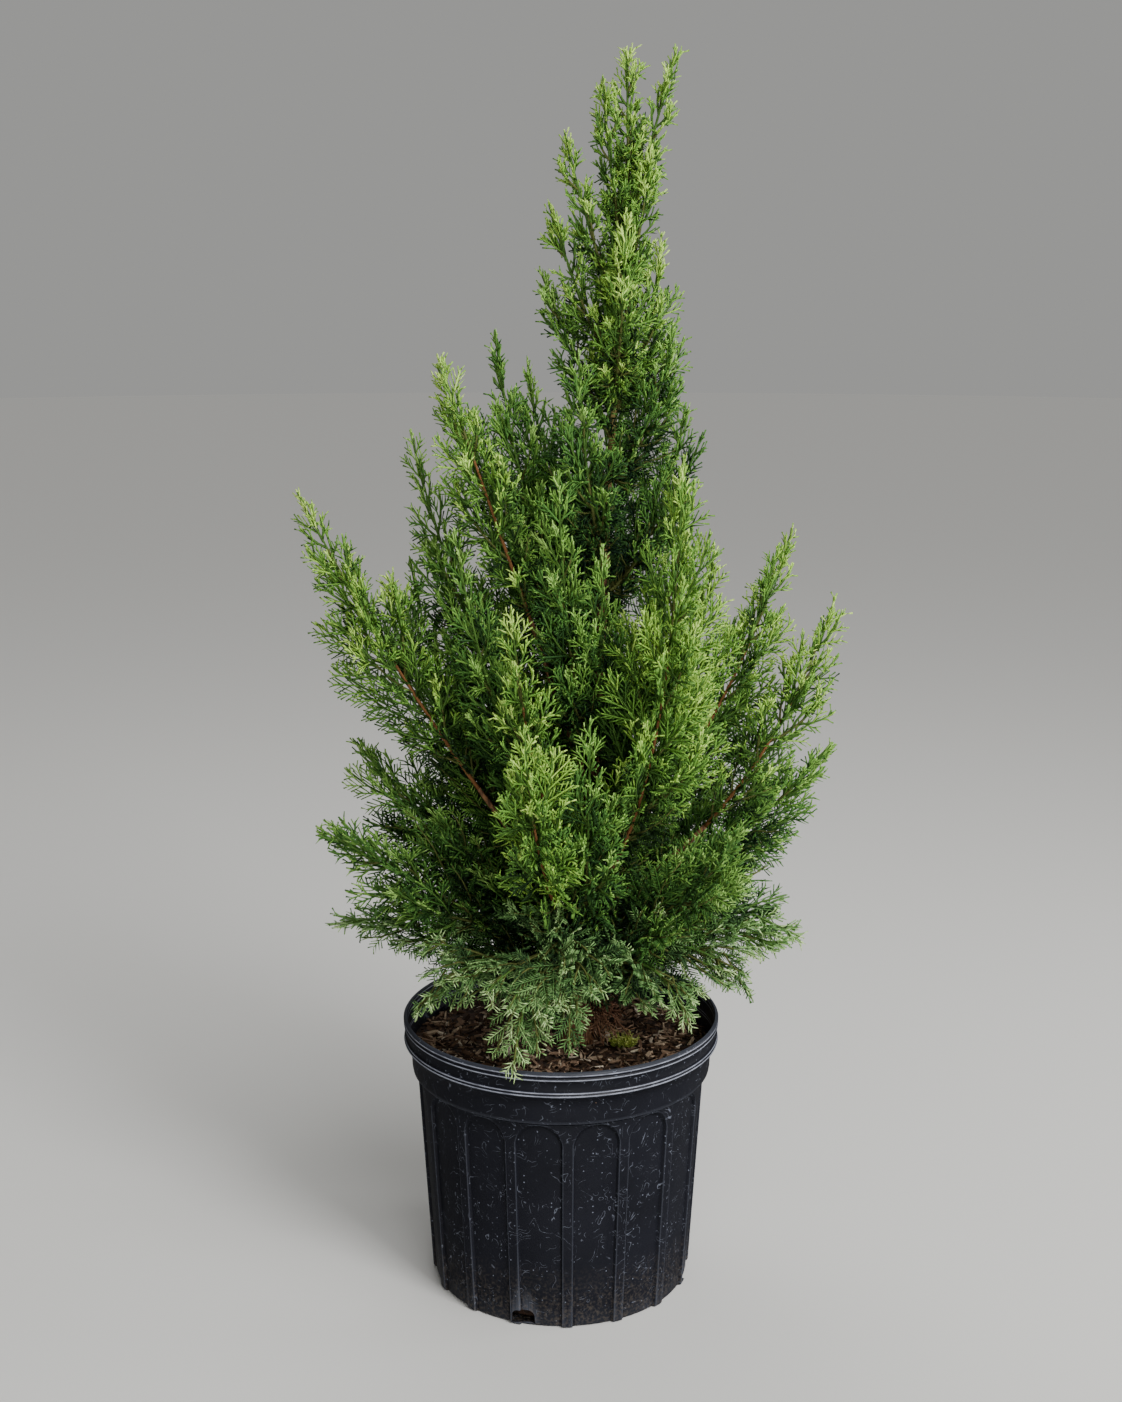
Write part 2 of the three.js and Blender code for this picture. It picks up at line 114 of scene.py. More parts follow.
def turn_up(name, outline, sides):
    """Turns an outline of (radius, height) about the pot's axis, ring by ring, and caps both ends."""
    bpy.ops.object.select_all(action="DESELECT")
    radius, height = outline[0]
    bpy.ops.mesh.primitive_circle_add(vertices=sides, radius=radius, location=(0, 0, height))
    piece = bpy.context.object
    piece.name = name
    bpy.ops.object.mode_set(mode="EDIT")
    bpy.ops.mesh.select_all(action="SELECT")
    for next_radius, next_height in outline[1:]:
        rise = {"value": (0, 0, next_height - height)}
        bpy.ops.mesh.extrude_region_move(TRANSFORM_OT_translate=rise)
        swell = next_radius / radius
        bpy.ops.transform.resize(value=(swell, swell, 1), center_override=(0, 0, 0))
        radius, height = next_radius, next_height
    bpy.ops.mesh.edge_face_add()
    bpy.ops.mesh.select_all(action="DESELECT")
    bpy.ops.mesh.select_non_manifold()
    bpy.ops.mesh.edge_face_add()
    bpy.ops.mesh.select_all(action="SELECT")
    bpy.ops.mesh.normals_make_consistent(inside=False)
    bpy.ops.object.mode_set(mode="OBJECT")
    place_in_mesh(piece)
    return piece


def select_only(piece):
    """Selects one object and nothing else, and makes it the active one."""
    bpy.ops.object.select_all(action="DESELECT")
    piece.select_set(True)
    bpy.context.view_layer.objects.active = piece


def place_in_mesh(piece):
    """Moves an object's place, turn and scale into its mesh."""
    select_only(piece)
    bpy.ops.object.transform_apply(location=True, rotation=True, scale=True)


def ring_of(piece, count, first_turn):
    """Copies a piece round the pot's axis and joins the copies."""
    copies = []
    for i in range(count):
        select_only(piece)
        bpy.ops.object.duplicate(linked=False)
        copy = bpy.context.object
        copy.rotation_euler.z = math.radians(first_turn + i * 360 / count)
        place_in_mesh(copy)
        copies.append(copy)
    bpy.data.objects.remove(piece)
    select_only(copies[0])
    for copy in copies[1:]:
        copy.select_set(True)
    bpy.ops.object.join()
    return copies[0]


def cut(piece, cutter):
    """Cuts a piece with a cutter, and removes the cutter."""
    modifier = piece.modifiers.new("cut", "BOOLEAN")
    modifier.operation = "DIFFERENCE"
    modifier.object = cutter
    select_only(piece)
    bpy.ops.object.modifier_apply(modifier=modifier.name)
    bpy.data.objects.remove(cutter)


def panel_sink(turn, height):
    """How deep the wall is sunk, by the turn in degrees from a panel's middle, and the height."""
    across = wall_radius(height) * math.tan(math.radians(abs(turn)))
    arch_radius = wall_radius(PANEL_CROWN) * math.tan(math.radians(PANEL_HALF_SPREAD))
    springing = PANEL_CROWN - arch_radius
    if height < springing:
        inside = wall_radius(height) * math.tan(math.radians(PANEL_HALF_SPREAD)) - across
    else:
        inside = arch_radius - math.hypot(across, height - springing)
    share = max(0.0, min(1.0, inside / PANEL_SLOPE))
    return PANEL_DEPTH * share * share * (3 - 2 * share)


def sink_panels(piece):
    """Gathers the wall's columns of points at the panels' edges, and presses the panels in."""
    between_panels = -180 / PANEL_COUNT
    turns = sorted([between_panels, 0.0] + HALF_PANEL_TURNS + [-turn for turn in HALF_PANEL_TURNS])
    for vertex in piece.data.vertices:
        radius = math.hypot(vertex.co.x, vertex.co.y)
        column = round(math.degrees(math.atan2(vertex.co.x, -vertex.co.y)) * POT_SIDES / 360)
        panel, place = divmod(column, len(turns))
        # The inner face of the wall lies deeper than 2.6 mm, and so it isn't pressed.
        on_wall = vertex.co.z < WALL_TOP + 1e-4 and radius > wall_radius(vertex.co.z) - 0.0026
        if on_wall:
            radius -= panel_sink(turns[place], vertex.co.z)
        turn = math.radians(PANEL_FIRST_TURN + panel * 360 / PANEL_COUNT + turns[place])
        vertex.co.x = radius * math.sin(turn)
        vertex.co.y = -radius * math.cos(turn)


def make_drain_cutter():
    """One low slot with round upper corners, through the wall at its foot."""
    bpy.ops.object.select_all(action="DESELECT")
    bpy.ops.mesh.primitive_cube_add(
        size=1,
        location=(0, -WALL_FOOT_RADIUS, DRAIN_FOOT + DRAIN_HEIGHT / 2),
        scale=(DRAIN_WIDTH, 0.02, DRAIN_HEIGHT),
    )
    slot_plug = bpy.context.object
    place_in_mesh(slot_plug)
    top = DRAIN_FOOT + DRAIN_HEIGHT
    bpy.ops.object.mode_set(mode="EDIT")
    bpy.ops.mesh.select_mode(type="EDGE")
    bpy.ops.mesh.select_all(action="DESELECT")
    bpy.ops.object.mode_set(mode="OBJECT")
    points = slot_plug.data.vertices
    for edge in slot_plug.data.edges:
        a, b = (points[i].co for i in edge.vertices)
        edge.select = abs(a.x - b.x) < 1e-5 and min(a.z, b.z) > top - 1e-5
    bpy.ops.object.mode_set(mode="EDIT")
    bpy.ops.mesh.bevel(offset=DRAIN_CORNER, segments=6, affect="EDGES")
    bpy.ops.mesh.select_mode(type="VERT")
    bpy.ops.object.mode_set(mode="OBJECT")
    return slot_plug


POT_SIDES = PANEL_COUNT * (2 + 2 * len(HALF_PANEL_TURNS))
wall_heights = [WALL_EDGE, 0.04, 0.08, 0.12, 0.15, 0.164, 0.169]
wall_heights += [0.1705 + 0.0008 * i for i in range(27)]
pot_outline = [(WALL_FOOT_RADIUS - WALL_EDGE, 0), (WALL_FOOT_RADIUS - 0.0008, 0.0008)]
pot_outline += [(wall_radius(height), height) for height in wall_heights]
pot_outline += [
    (0.1258, 0.1918),
    (0.1258, WALL_TOP),
    (0.1297, 0.1935),
    (0.1305, 0.1944),
    (0.1311, 0.1980),
    (0.1315, 0.2080),
    (0.1326, 0.2140),
    (0.1346, 0.2180),
    (0.1370, 0.2200),
    (0.1379, 0.2209),
    (0.1381, 0.2217),
    (0.1377, 0.2225),
    (0.1372, 0.2231),
    (0.1376, 0.2237),
    (0.1377, 0.2244),
    (0.1372, 0.2251),
    (0.1360, 0.2256),
    (0.1358, 0.2275),
    (0.1358, 0.2330),
    (0.1362, 0.2342),
    (0.1377, 0.2349),
    (0.1381, 0.2357),
    (0.1379, 0.2366),
    (0.1373, 0.2373),
    (0.1378, 0.2381),
    (LIP_RADIUS, 0.2392),
    (0.1382, 0.2404),
    (0.1376, 0.2415),
    (0.1366, 0.2423),
    (0.1357, POT_HEIGHT),
    (0.1350, 0.2419),
    (MOUTH_RADIUS, 0.2400),
    (MOUTH_RADIUS, 0.2190),
    (WALL_TOP_RADIUS - WALL_THICKNESS, 0.1950),
    (WALL_FOOT_RADIUS - WALL_THICKNESS, 0.0030),
]
pot = turn_up("pot_shell", pot_outline, POT_SIDES)
sink_panels(pot)
cut(pot, ring_of(make_drain_cutter(), DRAIN_COUNT, DRAIN_FIRST_TURN))
select_only(pot)
bpy.ops.object.shade_smooth_by_angle(angle=math.radians(40))


def make_pot_plastic():
    """Black moulded polyethylene: a satin skin with fine scratches, nicks and soil at its foot, painted
    highlights and painted shade.
    """
    material, tree, surface = new_material("black_polyethylene")
    place = add_node(tree, "ShaderNodeTexCoord").outputs["Object"]
    height = add_node(tree, "ShaderNodeSeparateXYZ", {"Vector": place}).outputs["Z"]
    # The skin's colour drifts over about 60 mm between charcoal and a bluer black.
    drift = add_node(tree, "ShaderNodeTexNoise", {"Vector": place, "Scale": 16.0, "Detail": 3.0})
    skin = add_node(
        tree,
        "ShaderNodeMix",
        {0: drift.outputs["Fac"], 6: linear("#121319"), 7: linear("#1f2029")},
        data_type="RGBA",
    )
    # Edges that stand out get a painted highlight of paler grey, and the creases beside them get
    # painted shade, black.
    stands_out = add_node(tree, "ShaderNodeNewGeometry").outputs["Pointiness"]
    painted_edge_highlight = add_node(
        tree,
        "ShaderNodeMapRange",
        {"Value": stands_out, "From Min": 0.52, "From Max": 0.58, "To Max": 0.36},
    )
    painted_crease_shade = add_node(
        tree,
        "ShaderNodeMapRange",
        {"Value": stands_out, "From Min": 0.42, "From Max": 0.485, "To Min": 0.85, "To Max": 0.0},
    )
    crease_shaded_skin = add_node(
        tree,
        "ShaderNodeMix",
        {0: painted_crease_shade.outputs[0], 6: skin.outputs[2], 7: linear("#040507")},
        data_type="RGBA",
    )
    # Scratches are arcs about 0.3 mm wide: level lines of a pattern that wanders over 20 mm or so,
    # broken into stretches of a few millimetres.
    wander = add_node(
        tree,
        "ShaderNodeTexNoise",
        {"Vector": place, "Scale": 48.0, "Detail": 1.0, "Distortion": 1.4},
    )
    levels = add_node(tree, "ShaderNodeMath", {0: wander.outputs["Fac"], 1: 7.0}, operation="MULTIPLY")
    between = add_node(tree, "ShaderNodeMath", {0: levels.outputs[0]}, operation="FRACT")
    off_middle = add_node(tree, "ShaderNodeMath", {0: between.outputs[0], 1: 0.5}, operation="SUBTRACT")
    off_line = add_node(tree, "ShaderNodeMath", {0: off_middle.outputs[0]}, operation="ABSOLUTE")
    from_line = off_line.outputs[0]
    line = add_node(
        tree,
        "ShaderNodeMapRange",
        {"Value": from_line, "From Min": 0.01, "From Max": 0.055, "To Min": 0.6, "To Max": 0.0},
    )
    wearing_noise = add_node(
        tree, "ShaderNodeTexNoise", {"Vector": place, "Scale": 110.0, "Detail": 3.0}
    )
    worn = wearing_noise.outputs["Fac"]
    # One scuff, which fades out 30 mm from its middle, is where the wall was knocked.
    from_scuff = add_node(
        tree, "ShaderNodeVectorMath", {0: place, 1: SCUFF_PLACE}, operation="DISTANCE"
    )
    scuff = add_node(
        tree,
        "ShaderNodeMapRange",
        {"Value": from_scuff.outputs["Value"], "From Max": 0.03, "To Min": 0.1, "To Max": 0.0},
    )
    wearing = add_node(tree, "ShaderNodeMath", {0: worn, 1: scuff.outputs[0]}, operation="ADD")
    worn_mask = add_node(
        tree,
        "ShaderNodeMapRange",
        {"Value": wearing.outputs[0], "From Min": 0.51, "From Max": 0.62},
    )
    scratch = add_node(
        tree,
        "ShaderNodeMath",
        {0: line.outputs[0], 1: worn_mask.outputs[0]},
        operation="MULTIPLY",
    )
    # Nicks and dried specks are dots up to about 1 mm across, 10 mm or so apart.
    dots = add_node(tree, "ShaderNodeTexVoronoi", {"Vector": place, "Scale": 260.0}, feature="F1")
    from_dot = dots.outputs["Distance"]
    dot = add_node(
        tree,
        "ShaderNodeMapRange",
        {"Value": from_dot, "From Min": 0.08, "From Max": 0.2, "To Min": 0.9, "To Max": 0.0},
    )
    rare = add_node(tree, "ShaderNodeSeparateColor", {"Color": dots.outputs["Color"]})
    rare_dot = add_node(
        tree,
        "ShaderNodeMapRange",
        {"Value": rare.outputs["Red"], "From Min": 0.7, "From Max": 0.95},
    )
    speck = add_node(
        tree,
        "ShaderNodeMath",
        {0: dot.outputs[0], 1: rare_dot.outputs[0]},
        operation="MULTIPLY",
    )
    marks = add_node(
        tree,
        "ShaderNodeMath",
        {0: scratch.outputs[0], 1: speck.outputs[0]},
        operation="MAXIMUM",
    )
    # Scratches and specks, with the painted edge highlights, turn the skin a pale grey.
    marks_and_edge_highlight = add_node(
        tree,
        "ShaderNodeMath",
        {0: marks.outputs[0], 1: painted_edge_highlight.outputs[0]},
        operation="MAXIMUM",
    )
    marked_and_highlighted = add_node(
        tree,
        "ShaderNodeMix",
        {0: marks_and_edge_highlight.outputs[0], 6: crease_shaded_skin.outputs[2], 7: linear("#7c8291")},
        data_type="RGBA",
    )
    # Four painted highlight lines, about 1 mm wide, lie on the rolls of the bead and the lip.
    line_highlight_strength = add_node(
        tree,
        "ShaderNodeMapRange",
        {"Value": worn, "From Min": 0.3, "From Max": 0.62, "To Min": 0.45, "To Max": 0.95},
    ).outputs[0]
    line_highlighted = marked_and_highlighted
    for line_height in PAINTED_HIGHLIGHT_LINES:
        on_line = add_node(
            tree,
            "ShaderNodeMath",
            {0: height, 1: line_height, 2: PAINTED_HIGHLIGHT_HALF_WIDTH},
            operation="COMPARE",
        )
        amount = add_node(
            tree, "ShaderNodeMath", {0: on_line.outputs[0], 1: line_highlight_strength}, operation="MULTIPLY"
        )
        line_highlighted = add_node(
            tree,
            "ShaderNodeMix",
            {0: amount.outputs[0], 6: line_highlighted.outputs[2], 7: linear("#9a9eac")},
            data_type="RGBA",
        )
    # Dust and splashed soil, in grains of 1 to 3 mm, fade out over the lowest 60 mm.
    low = add_node(
        tree,
        "ShaderNodeMapRange",
        {"Value": height, "From Min": 0.0, "From Max": 0.06, "To Min": 0.45, "To Max": 0.0},
    )
    splash = add_node(tree, "ShaderNodeTexNoise", {"Vector": place, "Scale": 420.0, "Detail": 6.0})
    splash_mask = add_node(
        tree,
        "ShaderNodeMapRange",
        {"Value": splash.outputs["Fac"], "From Min": 0.46, "From Max": 0.7},
    )
    dust = add_node(
        tree,
        "ShaderNodeMath",
        {0: low.outputs[0], 1: splash_mask.outputs[0]},
        operation="MULTIPLY",
    )
    dusty = add_node(
        tree,
        "ShaderNodeMix",
        {0: dust.outputs[0], 6: line_highlighted.outputs[2], 7: linear("#6e6355")},
        data_type="RGBA",
    )
    tree.links.new(dusty.outputs[2], surface.inputs["Base Color"])
    # Worn places are duller, and the grain and the marks can be felt.
    dull = add_node(tree, "ShaderNodeMapRange", {"Value": worn, "To Min": 0.36, "To Max": 0.6})
    tree.links.new(dull.outputs[0], surface.inputs["Roughness"])
    grain = add_node(
        tree,
        "ShaderNodeMath",
        {0: splash.outputs["Fac"], 1: marks.outputs[0]},
        operation="ADD",
    )
    bump = add_node(
        tree,
        "ShaderNodeBump",
        {"Strength": 0.35, "Distance": 0.0004, "Height": grain.outputs[0]},
    )
    tree.links.new(bump.outputs[0], surface.inputs["Normal"])
    surface.inputs["IOR"].default_value = 1.5
    surface.inputs["Specular IOR Level"].default_value = 0.24
    return material


pot.data.materials.clear()
pot.data.materials.append(make_pot_plastic())
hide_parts("pot")
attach(pot, "root")


# The potting bark
# Damp composted pine bark, poured round the root ball and firmed by hand to about 28 mm below the lip.
# It fills the pot down to the floor, shows in the drain holes, and is strewn with loose chips.

BARK_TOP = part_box("potting_bark")[1].z
BARK_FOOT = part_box("potting_bark")[0].z
BED_TOP = BARK_TOP - 0.002
BED_RINGS = 34
CHIP_COUNT = 3000
CHIP_SPREAD = 0.1285
CHIP_LIFT = 0.004
CHIP_BROWNS = ["#33261d", "#5a4535", "#836b57", "#aa947c", "#cfc0aa"]
CHIP_SHARES = [0.26, 0.3, 0.24, 0.14, 0.06]


def plain_material(name, code, roughness):
    """A plain colour, one of the few tones that many small things in one mesh are given."""
    material, _, surface = new_material(name)
    surface.inputs["Base Color"].default_value = linear(code)
    surface.inputs["Roughness"].default_value = roughness
    surface.inputs["IOR"].default_value = 1.4
    surface.inputs["Specular IOR Level"].default_value = 0.15
    return material


def joined_mesh(name, points, faces, slots, materials, smooth=True):
    """One object from arrays of points and triangles, with a material number for each triangle."""
    mesh = bpy.data.meshes.new(name)
    mesh.vertices.add(len(points))
    mesh.vertices.foreach_set("co", np.asarray(points, np.float32).ravel())
    mesh.loops.add(3 * len(faces))
    mesh.loops.foreach_set("vertex_index", np.asarray(faces, np.int32).ravel())
    mesh.polygons.add(len(faces))
    mesh.polygons.foreach_set("loop_start", np.arange(0, 3 * len(faces), 3, dtype=np.int32))
    for material in materials:
        mesh.materials.append(material)
    mesh.polygons.foreach_set("material_index", np.asarray(slots, np.int32))
    mesh.update(calc_edges=True)
    mesh.polygons.foreach_set("use_smooth", np.full(len(faces), smooth))
    piece = bpy.data.objects.new(name, mesh)
    bpy.context.scene.collection.objects.link(piece)
    return piece


def many_of(form_points, form_faces, origins, axes, sizes):
    """Points and faces of one small form set many times, each with its origin, three axes and sizes."""
    local = form_points[None, :, :] * sizes[:, None, :]
    points = origins[:, None, :] + np.einsum("npk,nkc->npc", local, axes)
    shift = (np.arange(len(origins)) * len(form_points))[:, None, None]
    faces = form_faces[None, :, :] + shift
    return points.reshape(-1, 3), faces.reshape(-1, 3)


def cross_unit(a, b):
    """The unit vectors at right angles to two sets of vectors."""
    across = np.cross(a, b)
    return across / np.linalg.norm(across, axis=1, keepdims=True)


# The bed lies close inside the pot's wall, and its top has many rings, for the lumps to rise on.
bed_outline = [
    (WALL_FOOT_RADIUS - 0.013, BARK_FOOT),
    (WALL_FOOT_RADIUS - 0.012, 0.014),
    (WALL_FOOT_RADIUS - 0.0035, 0.026),
    (WALL_TOP_RADIUS - 0.0035, 0.195),
    (0.1312, BED_TOP),
]
bed_outline += [(0.130 * (1 - i / BED_RINGS) + 0.0012, BED_TOP) for i in range(BED_RINGS + 1)]
bed = turn_up("potting_bark_bed", bed_outline, 96)
for vertex in bed.data.vertices:
    # The lumps are about 22 mm across, and the crumbs about 4 mm.
    if vertex.co.z > BARK_TOP - 0.003:
        lump = noise.fractal(vertex.co * 45, 0.8, 2.0, 3) * 0.0035
        crumb = noise.noise(vertex.co * 260) * 0.0012
        vertex.co.z += lump + crumb


def make_bark_mix():
    """Damp composted bark: dark crumbs between brown shreds a few millimetres long."""
    material, tree, surface = new_material("composted_bark")
    place = add_node(tree, "ShaderNodeTexCoord").outputs["Object"]
    shreds = add_node(tree, "ShaderNodeTexVoronoi", {"Vector": place, "Scale": 240.0}, feature="F1")
    tint = add_node(tree, "ShaderNodeSeparateColor", {"Color": shreds.outputs["Color"]})
    colour = add_node(
        tree,
        "ShaderNodeMix",
        {0: tint.outputs["Green"], 6: linear("#1b120c"), 7: linear("#4c3424")},
        data_type="RGBA",
    )
    tree.links.new(colour.outputs[2], surface.inputs["Base Color"])
    bump = add_node(
        tree,
        "ShaderNodeBump",
        {"Strength": 0.8, "Distance": 0.0015, "Height": shreds.outputs["Distance"]},
    )
    tree.links.new(bump.outputs[0], surface.inputs["Normal"])
    surface.inputs["Roughness"].default_value = 0.85
    return material


bed.data.materials.clear()
bed.data.materials.append(make_bark_mix())
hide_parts("potting_bark")
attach(bed, "root")


def strew_chips():
    """Loose chips: flat splinters with cut corners, lying at all angles on the bed."""
    rng = np.random.default_rng(31)
    flake = np.array(
        [
            (-1.0, -0.3, -0.8),
            (-0.6, 1.0, -1.0),
            (0.9, 0.7, -1.0),
            (1.0, -0.8, -0.7),
            (-0.8, -0.5, 0.8),
            (-0.5, 0.8, 1.0),
            (0.7, 0.6, 0.7),
            (0.8, -0.7, 1.0),
        ]
    )
    flake_faces = np.array(
        [
            (0, 1, 2), (0, 2, 3), (4, 6, 5), (4, 7, 6), (0, 5, 1), (0, 4, 5),
            (1, 6, 2), (1, 5, 6), (2, 7, 3), (2, 6, 7), (3, 4, 0), (3, 7, 4),
        ]
    )
    spread = CHIP_SPREAD * np.sqrt(rng.random(CHIP_COUNT))
    turn = rng.random(CHIP_COUNT) * 2 * math.pi
    lift = rng.random(CHIP_COUNT) * CHIP_LIFT
    origins = np.stack([spread * np.cos(turn), spread * np.sin(turn), BED_TOP + lift], 1)
    long_axis = rng.normal(size=(CHIP_COUNT, 3)) * (1, 1, 0.32)
    long_axis /= np.linalg.norm(long_axis, axis=1, keepdims=True)
    flat_axis = cross_unit(long_axis, rng.normal(size=(CHIP_COUNT, 3)) * (0.5, 0.5, 1))
    axes = np.stack([long_axis, flat_axis, np.cross(long_axis, flat_axis)], 1)
    # Half a chip's length is 2 to 4 mm on most, and up to 7.4 mm on a few.
    lengths = 0.002 + 0.0054 * rng.random(CHIP_COUNT) ** 2.2
    widths = lengths * (0.14 + 0.24 * rng.random(CHIP_COUNT))
    sizes = np.stack([lengths, widths, widths * 0.45], 1)
    points, faces = many_of(flake, flake_faces, origins, axes, sizes)
    shade = rng.choice(len(CHIP_BROWNS), CHIP_COUNT, p=CHIP_SHARES)
    browns = [plain_material(f"bark_chip_{i}", code, 0.8) for i, code in enumerate(CHIP_BROWNS)]
    slots = np.repeat(shade, len(flake_faces))
    return joined_mesh("bark_chips", points, faces, slots, browns, smooth=False)


chips = strew_chips()
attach(chips, "root")


# The trunk
# One leaning stem of reddish-brown wood under thin bark that peels in strips. It flares where it meets
# the potting bark, and runs up through all the foliage to the base of the leader's tip.

TRUNK_FOOT = Vector((0.014, 0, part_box("trunk")[0].z))
TRUNK_HEAD = Vector((0.054, 0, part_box("trunk")[1].z))
TRUNK_BOW = -0.0025
TRUNK_FOOT_RADIUS = 0.0095
TRUNK_HEAD_RADIUS = 0.0014
TRUNK_TAPER = 1.25
TRUNK_FLARE = 0.0056
TRUNK_FLARE_HEIGHT = 0.012
BARK_STEP = 0.0028


def bent_line(start, bend, end):
    """The three points of a limb's curve as one array."""
    return np.array([start, bend, end], float)


def along_line(line, share):
    """Points of a curve at shares of its length."""
    t = np.asarray(share, float)[..., None]
    return (1 - t) ** 2 * line[..., 0, :] + 2 * t * (1 - t) * line[..., 1, :] + t**2 * line[..., 2, :]


def heading(line, share):
    """Unit directions of a curve at shares of its length."""
    t = np.asarray(share, float)[..., None]
    way = (1 - t) * (line[..., 1, :] - line[..., 0, :]) + t * (line[..., 2, :] - line[..., 1, :])
    return way / np.linalg.norm(way, axis=-1, keepdims=True)


TRUNK_MIDDLE = (TRUNK_FOOT + TRUNK_HEAD) / 2 + Vector((TRUNK_BOW, 0, 0))
trunk_line = bent_line(TRUNK_FOOT, TRUNK_MIDDLE, TRUNK_HEAD)


def trunk_radius(share):
    """The trunk's radius at shares of its height."""
    rise = (TRUNK_HEAD.z - TRUNK_FOOT.z) * share
    flare = TRUNK_FLARE * np.exp(-rise / TRUNK_FLARE_HEIGHT)
    taper = (TRUNK_FOOT_RADIUS - TRUNK_HEAD_RADIUS) * (1 - share) ** TRUNK_TAPER
    return TRUNK_HEAD_RADIUS + taper + flare


def tube(centres, radii, ways, sides):
    """Points and triangles of closed round tubes, one for each row of centres."""
    rows, steps = radii.shape
    side = cross_unit(ways.reshape(-1, 3), np.tile((0.31, -0.87, 0.38), (rows * steps, 1)))
    side = side.reshape(rows, steps, 3)
    other = np.cross(ways, side)
    turn = np.arange(sides) * 2 * math.pi / sides
    ring = np.cos(turn)[:, None] * side[:, :, None, :] + np.sin(turn)[:, None] * other[:, :, None, :]
    rings = centres[:, :, None, :] + radii[:, :, None, None] * ring
    tips = np.stack([centres[:, 0], centres[:, -1]], 1)
    points = np.concatenate([rings.reshape(rows, -1, 3), tips], 1)
    faces = []
    for step in range(steps - 1):
        for i in range(sides):
            a, b = step * sides + i, step * sides + (i + 1) % sides
            faces += [(a, b, b + sides), (a, b + sides, a + sides)]
    last = (steps - 1) * sides
    for i in range(sides):
        j = (i + 1) % sides
        faces += [(steps * sides, j, i), (steps * sides + 1, last + i, last + j)]
    shift = (np.arange(rows) * points.shape[1])[:, None, None]
    faces = np.array(faces)[None] + shift
    return points.reshape(-1, 3), faces.reshape(-1, 3)


def bark_limb(name, line, first, last, radius_at, sides):
    """A limb with ridged bark along a stretch of its curve."""
    length = np.linalg.norm(along_line(line, last) - along_line(line, first))
    steps = max(8, int(length / BARK_STEP))
    share = first + (last - first) * np.linspace(0, 1, steps)
    centres = along_line(line, share)[None]
    ways = heading(line, share)[None]
    radii = radius_at(share)[None]
    points, faces = tube(centres, radii, ways, sides)
    for i in range(steps * sides):
        step = i // sides
        centre = Vector(centres[0, step])
        point = Vector(points[i])
        out = point - centre
        # Strips about 1 mm wide and 17 mm long stand out by up to an eighth of the radius, and cracks
        # part them, 2 mm apart and 9 mm long.
        strip = noise.noise(Vector((out.x, out.y, 0)) * 900 + Vector((0, 0, point.z * 60)))
        crack = noise.noise(Vector((point.x * 420, point.y * 420, point.z * 110)))
        points[i] = centre + out * (1 + 0.13 * strip + 0.09 * crack)
    return joined_mesh(name, points, faces, np.zeros(len(faces)), [trunk_bark])


def make_trunk_bark():
    """Thin juniper bark: grey-brown strips a millimetre or two wide that peel to show cinnamon wood."""
    material, tree, surface = new_material("peeling_bark")
    place = add_node(tree, "ShaderNodeTexCoord").outputs["Object"]
    drawn = add_node(tree, "ShaderNodeMapping", {"Vector": place, "Scale": (1.0, 1.0, 0.16)})
    strips = add_node(
        tree, "ShaderNodeTexNoise", {"Vector": drawn.outputs[0], "Scale": 520.0, "Detail": 4.0}
    )
    parted = add_node(
        tree,
        "ShaderNodeMapRange",
        {"Value": strips.outputs["Fac"], "From Min": 0.38, "From Max": 0.62},
    )
    colour = add_node(
        tree,
        "ShaderNodeMix",
        {0: parted.outputs[0], 6: linear("#5a3a26"), 7: linear("#9a6f48")},
        data_type="RGBA",
    )
    # This year's and last year's wood, above 0.62 m, is still olive.
    height = add_node(tree, "ShaderNodeSeparateXYZ", {"Vector": place}).outputs["Z"]
    youth = add_node(
        tree,
        "ShaderNodeMapRange",
        {"Value": height, "From Min": 0.62, "From Max": 0.86},
    )
    aged = add_node(
        tree,
        "ShaderNodeMix",
        {0: youth.outputs[0], 6: colour.outputs[2], 7: linear("#7f7d3e")},
        data_type="RGBA",
    )
    tree.links.new(aged.outputs[2], surface.inputs["Base Color"])
    bump = add_node(
        tree,
        "ShaderNodeBump",
        {"Strength": 0.7, "Distance": 0.0006, "Height": strips.outputs["Fac"]},
    )
    tree.links.new(bump.outputs[0], surface.inputs["Normal"])
    surface.inputs["Roughness"].default_value = 0.8
    return material


trunk_bark = make_trunk_bark()
trunk = bark_limb("trunk_bark", trunk_line, 0.0, 1.0, trunk_radius, 20)
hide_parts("trunk")
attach(trunk, "root")


# The boughs
# The eight limbs that show bare at their foot, of the trunk's wood under the same bark. Each grows out
# of the trunk, tapers and bends upwards, and ends where its foliage starts.

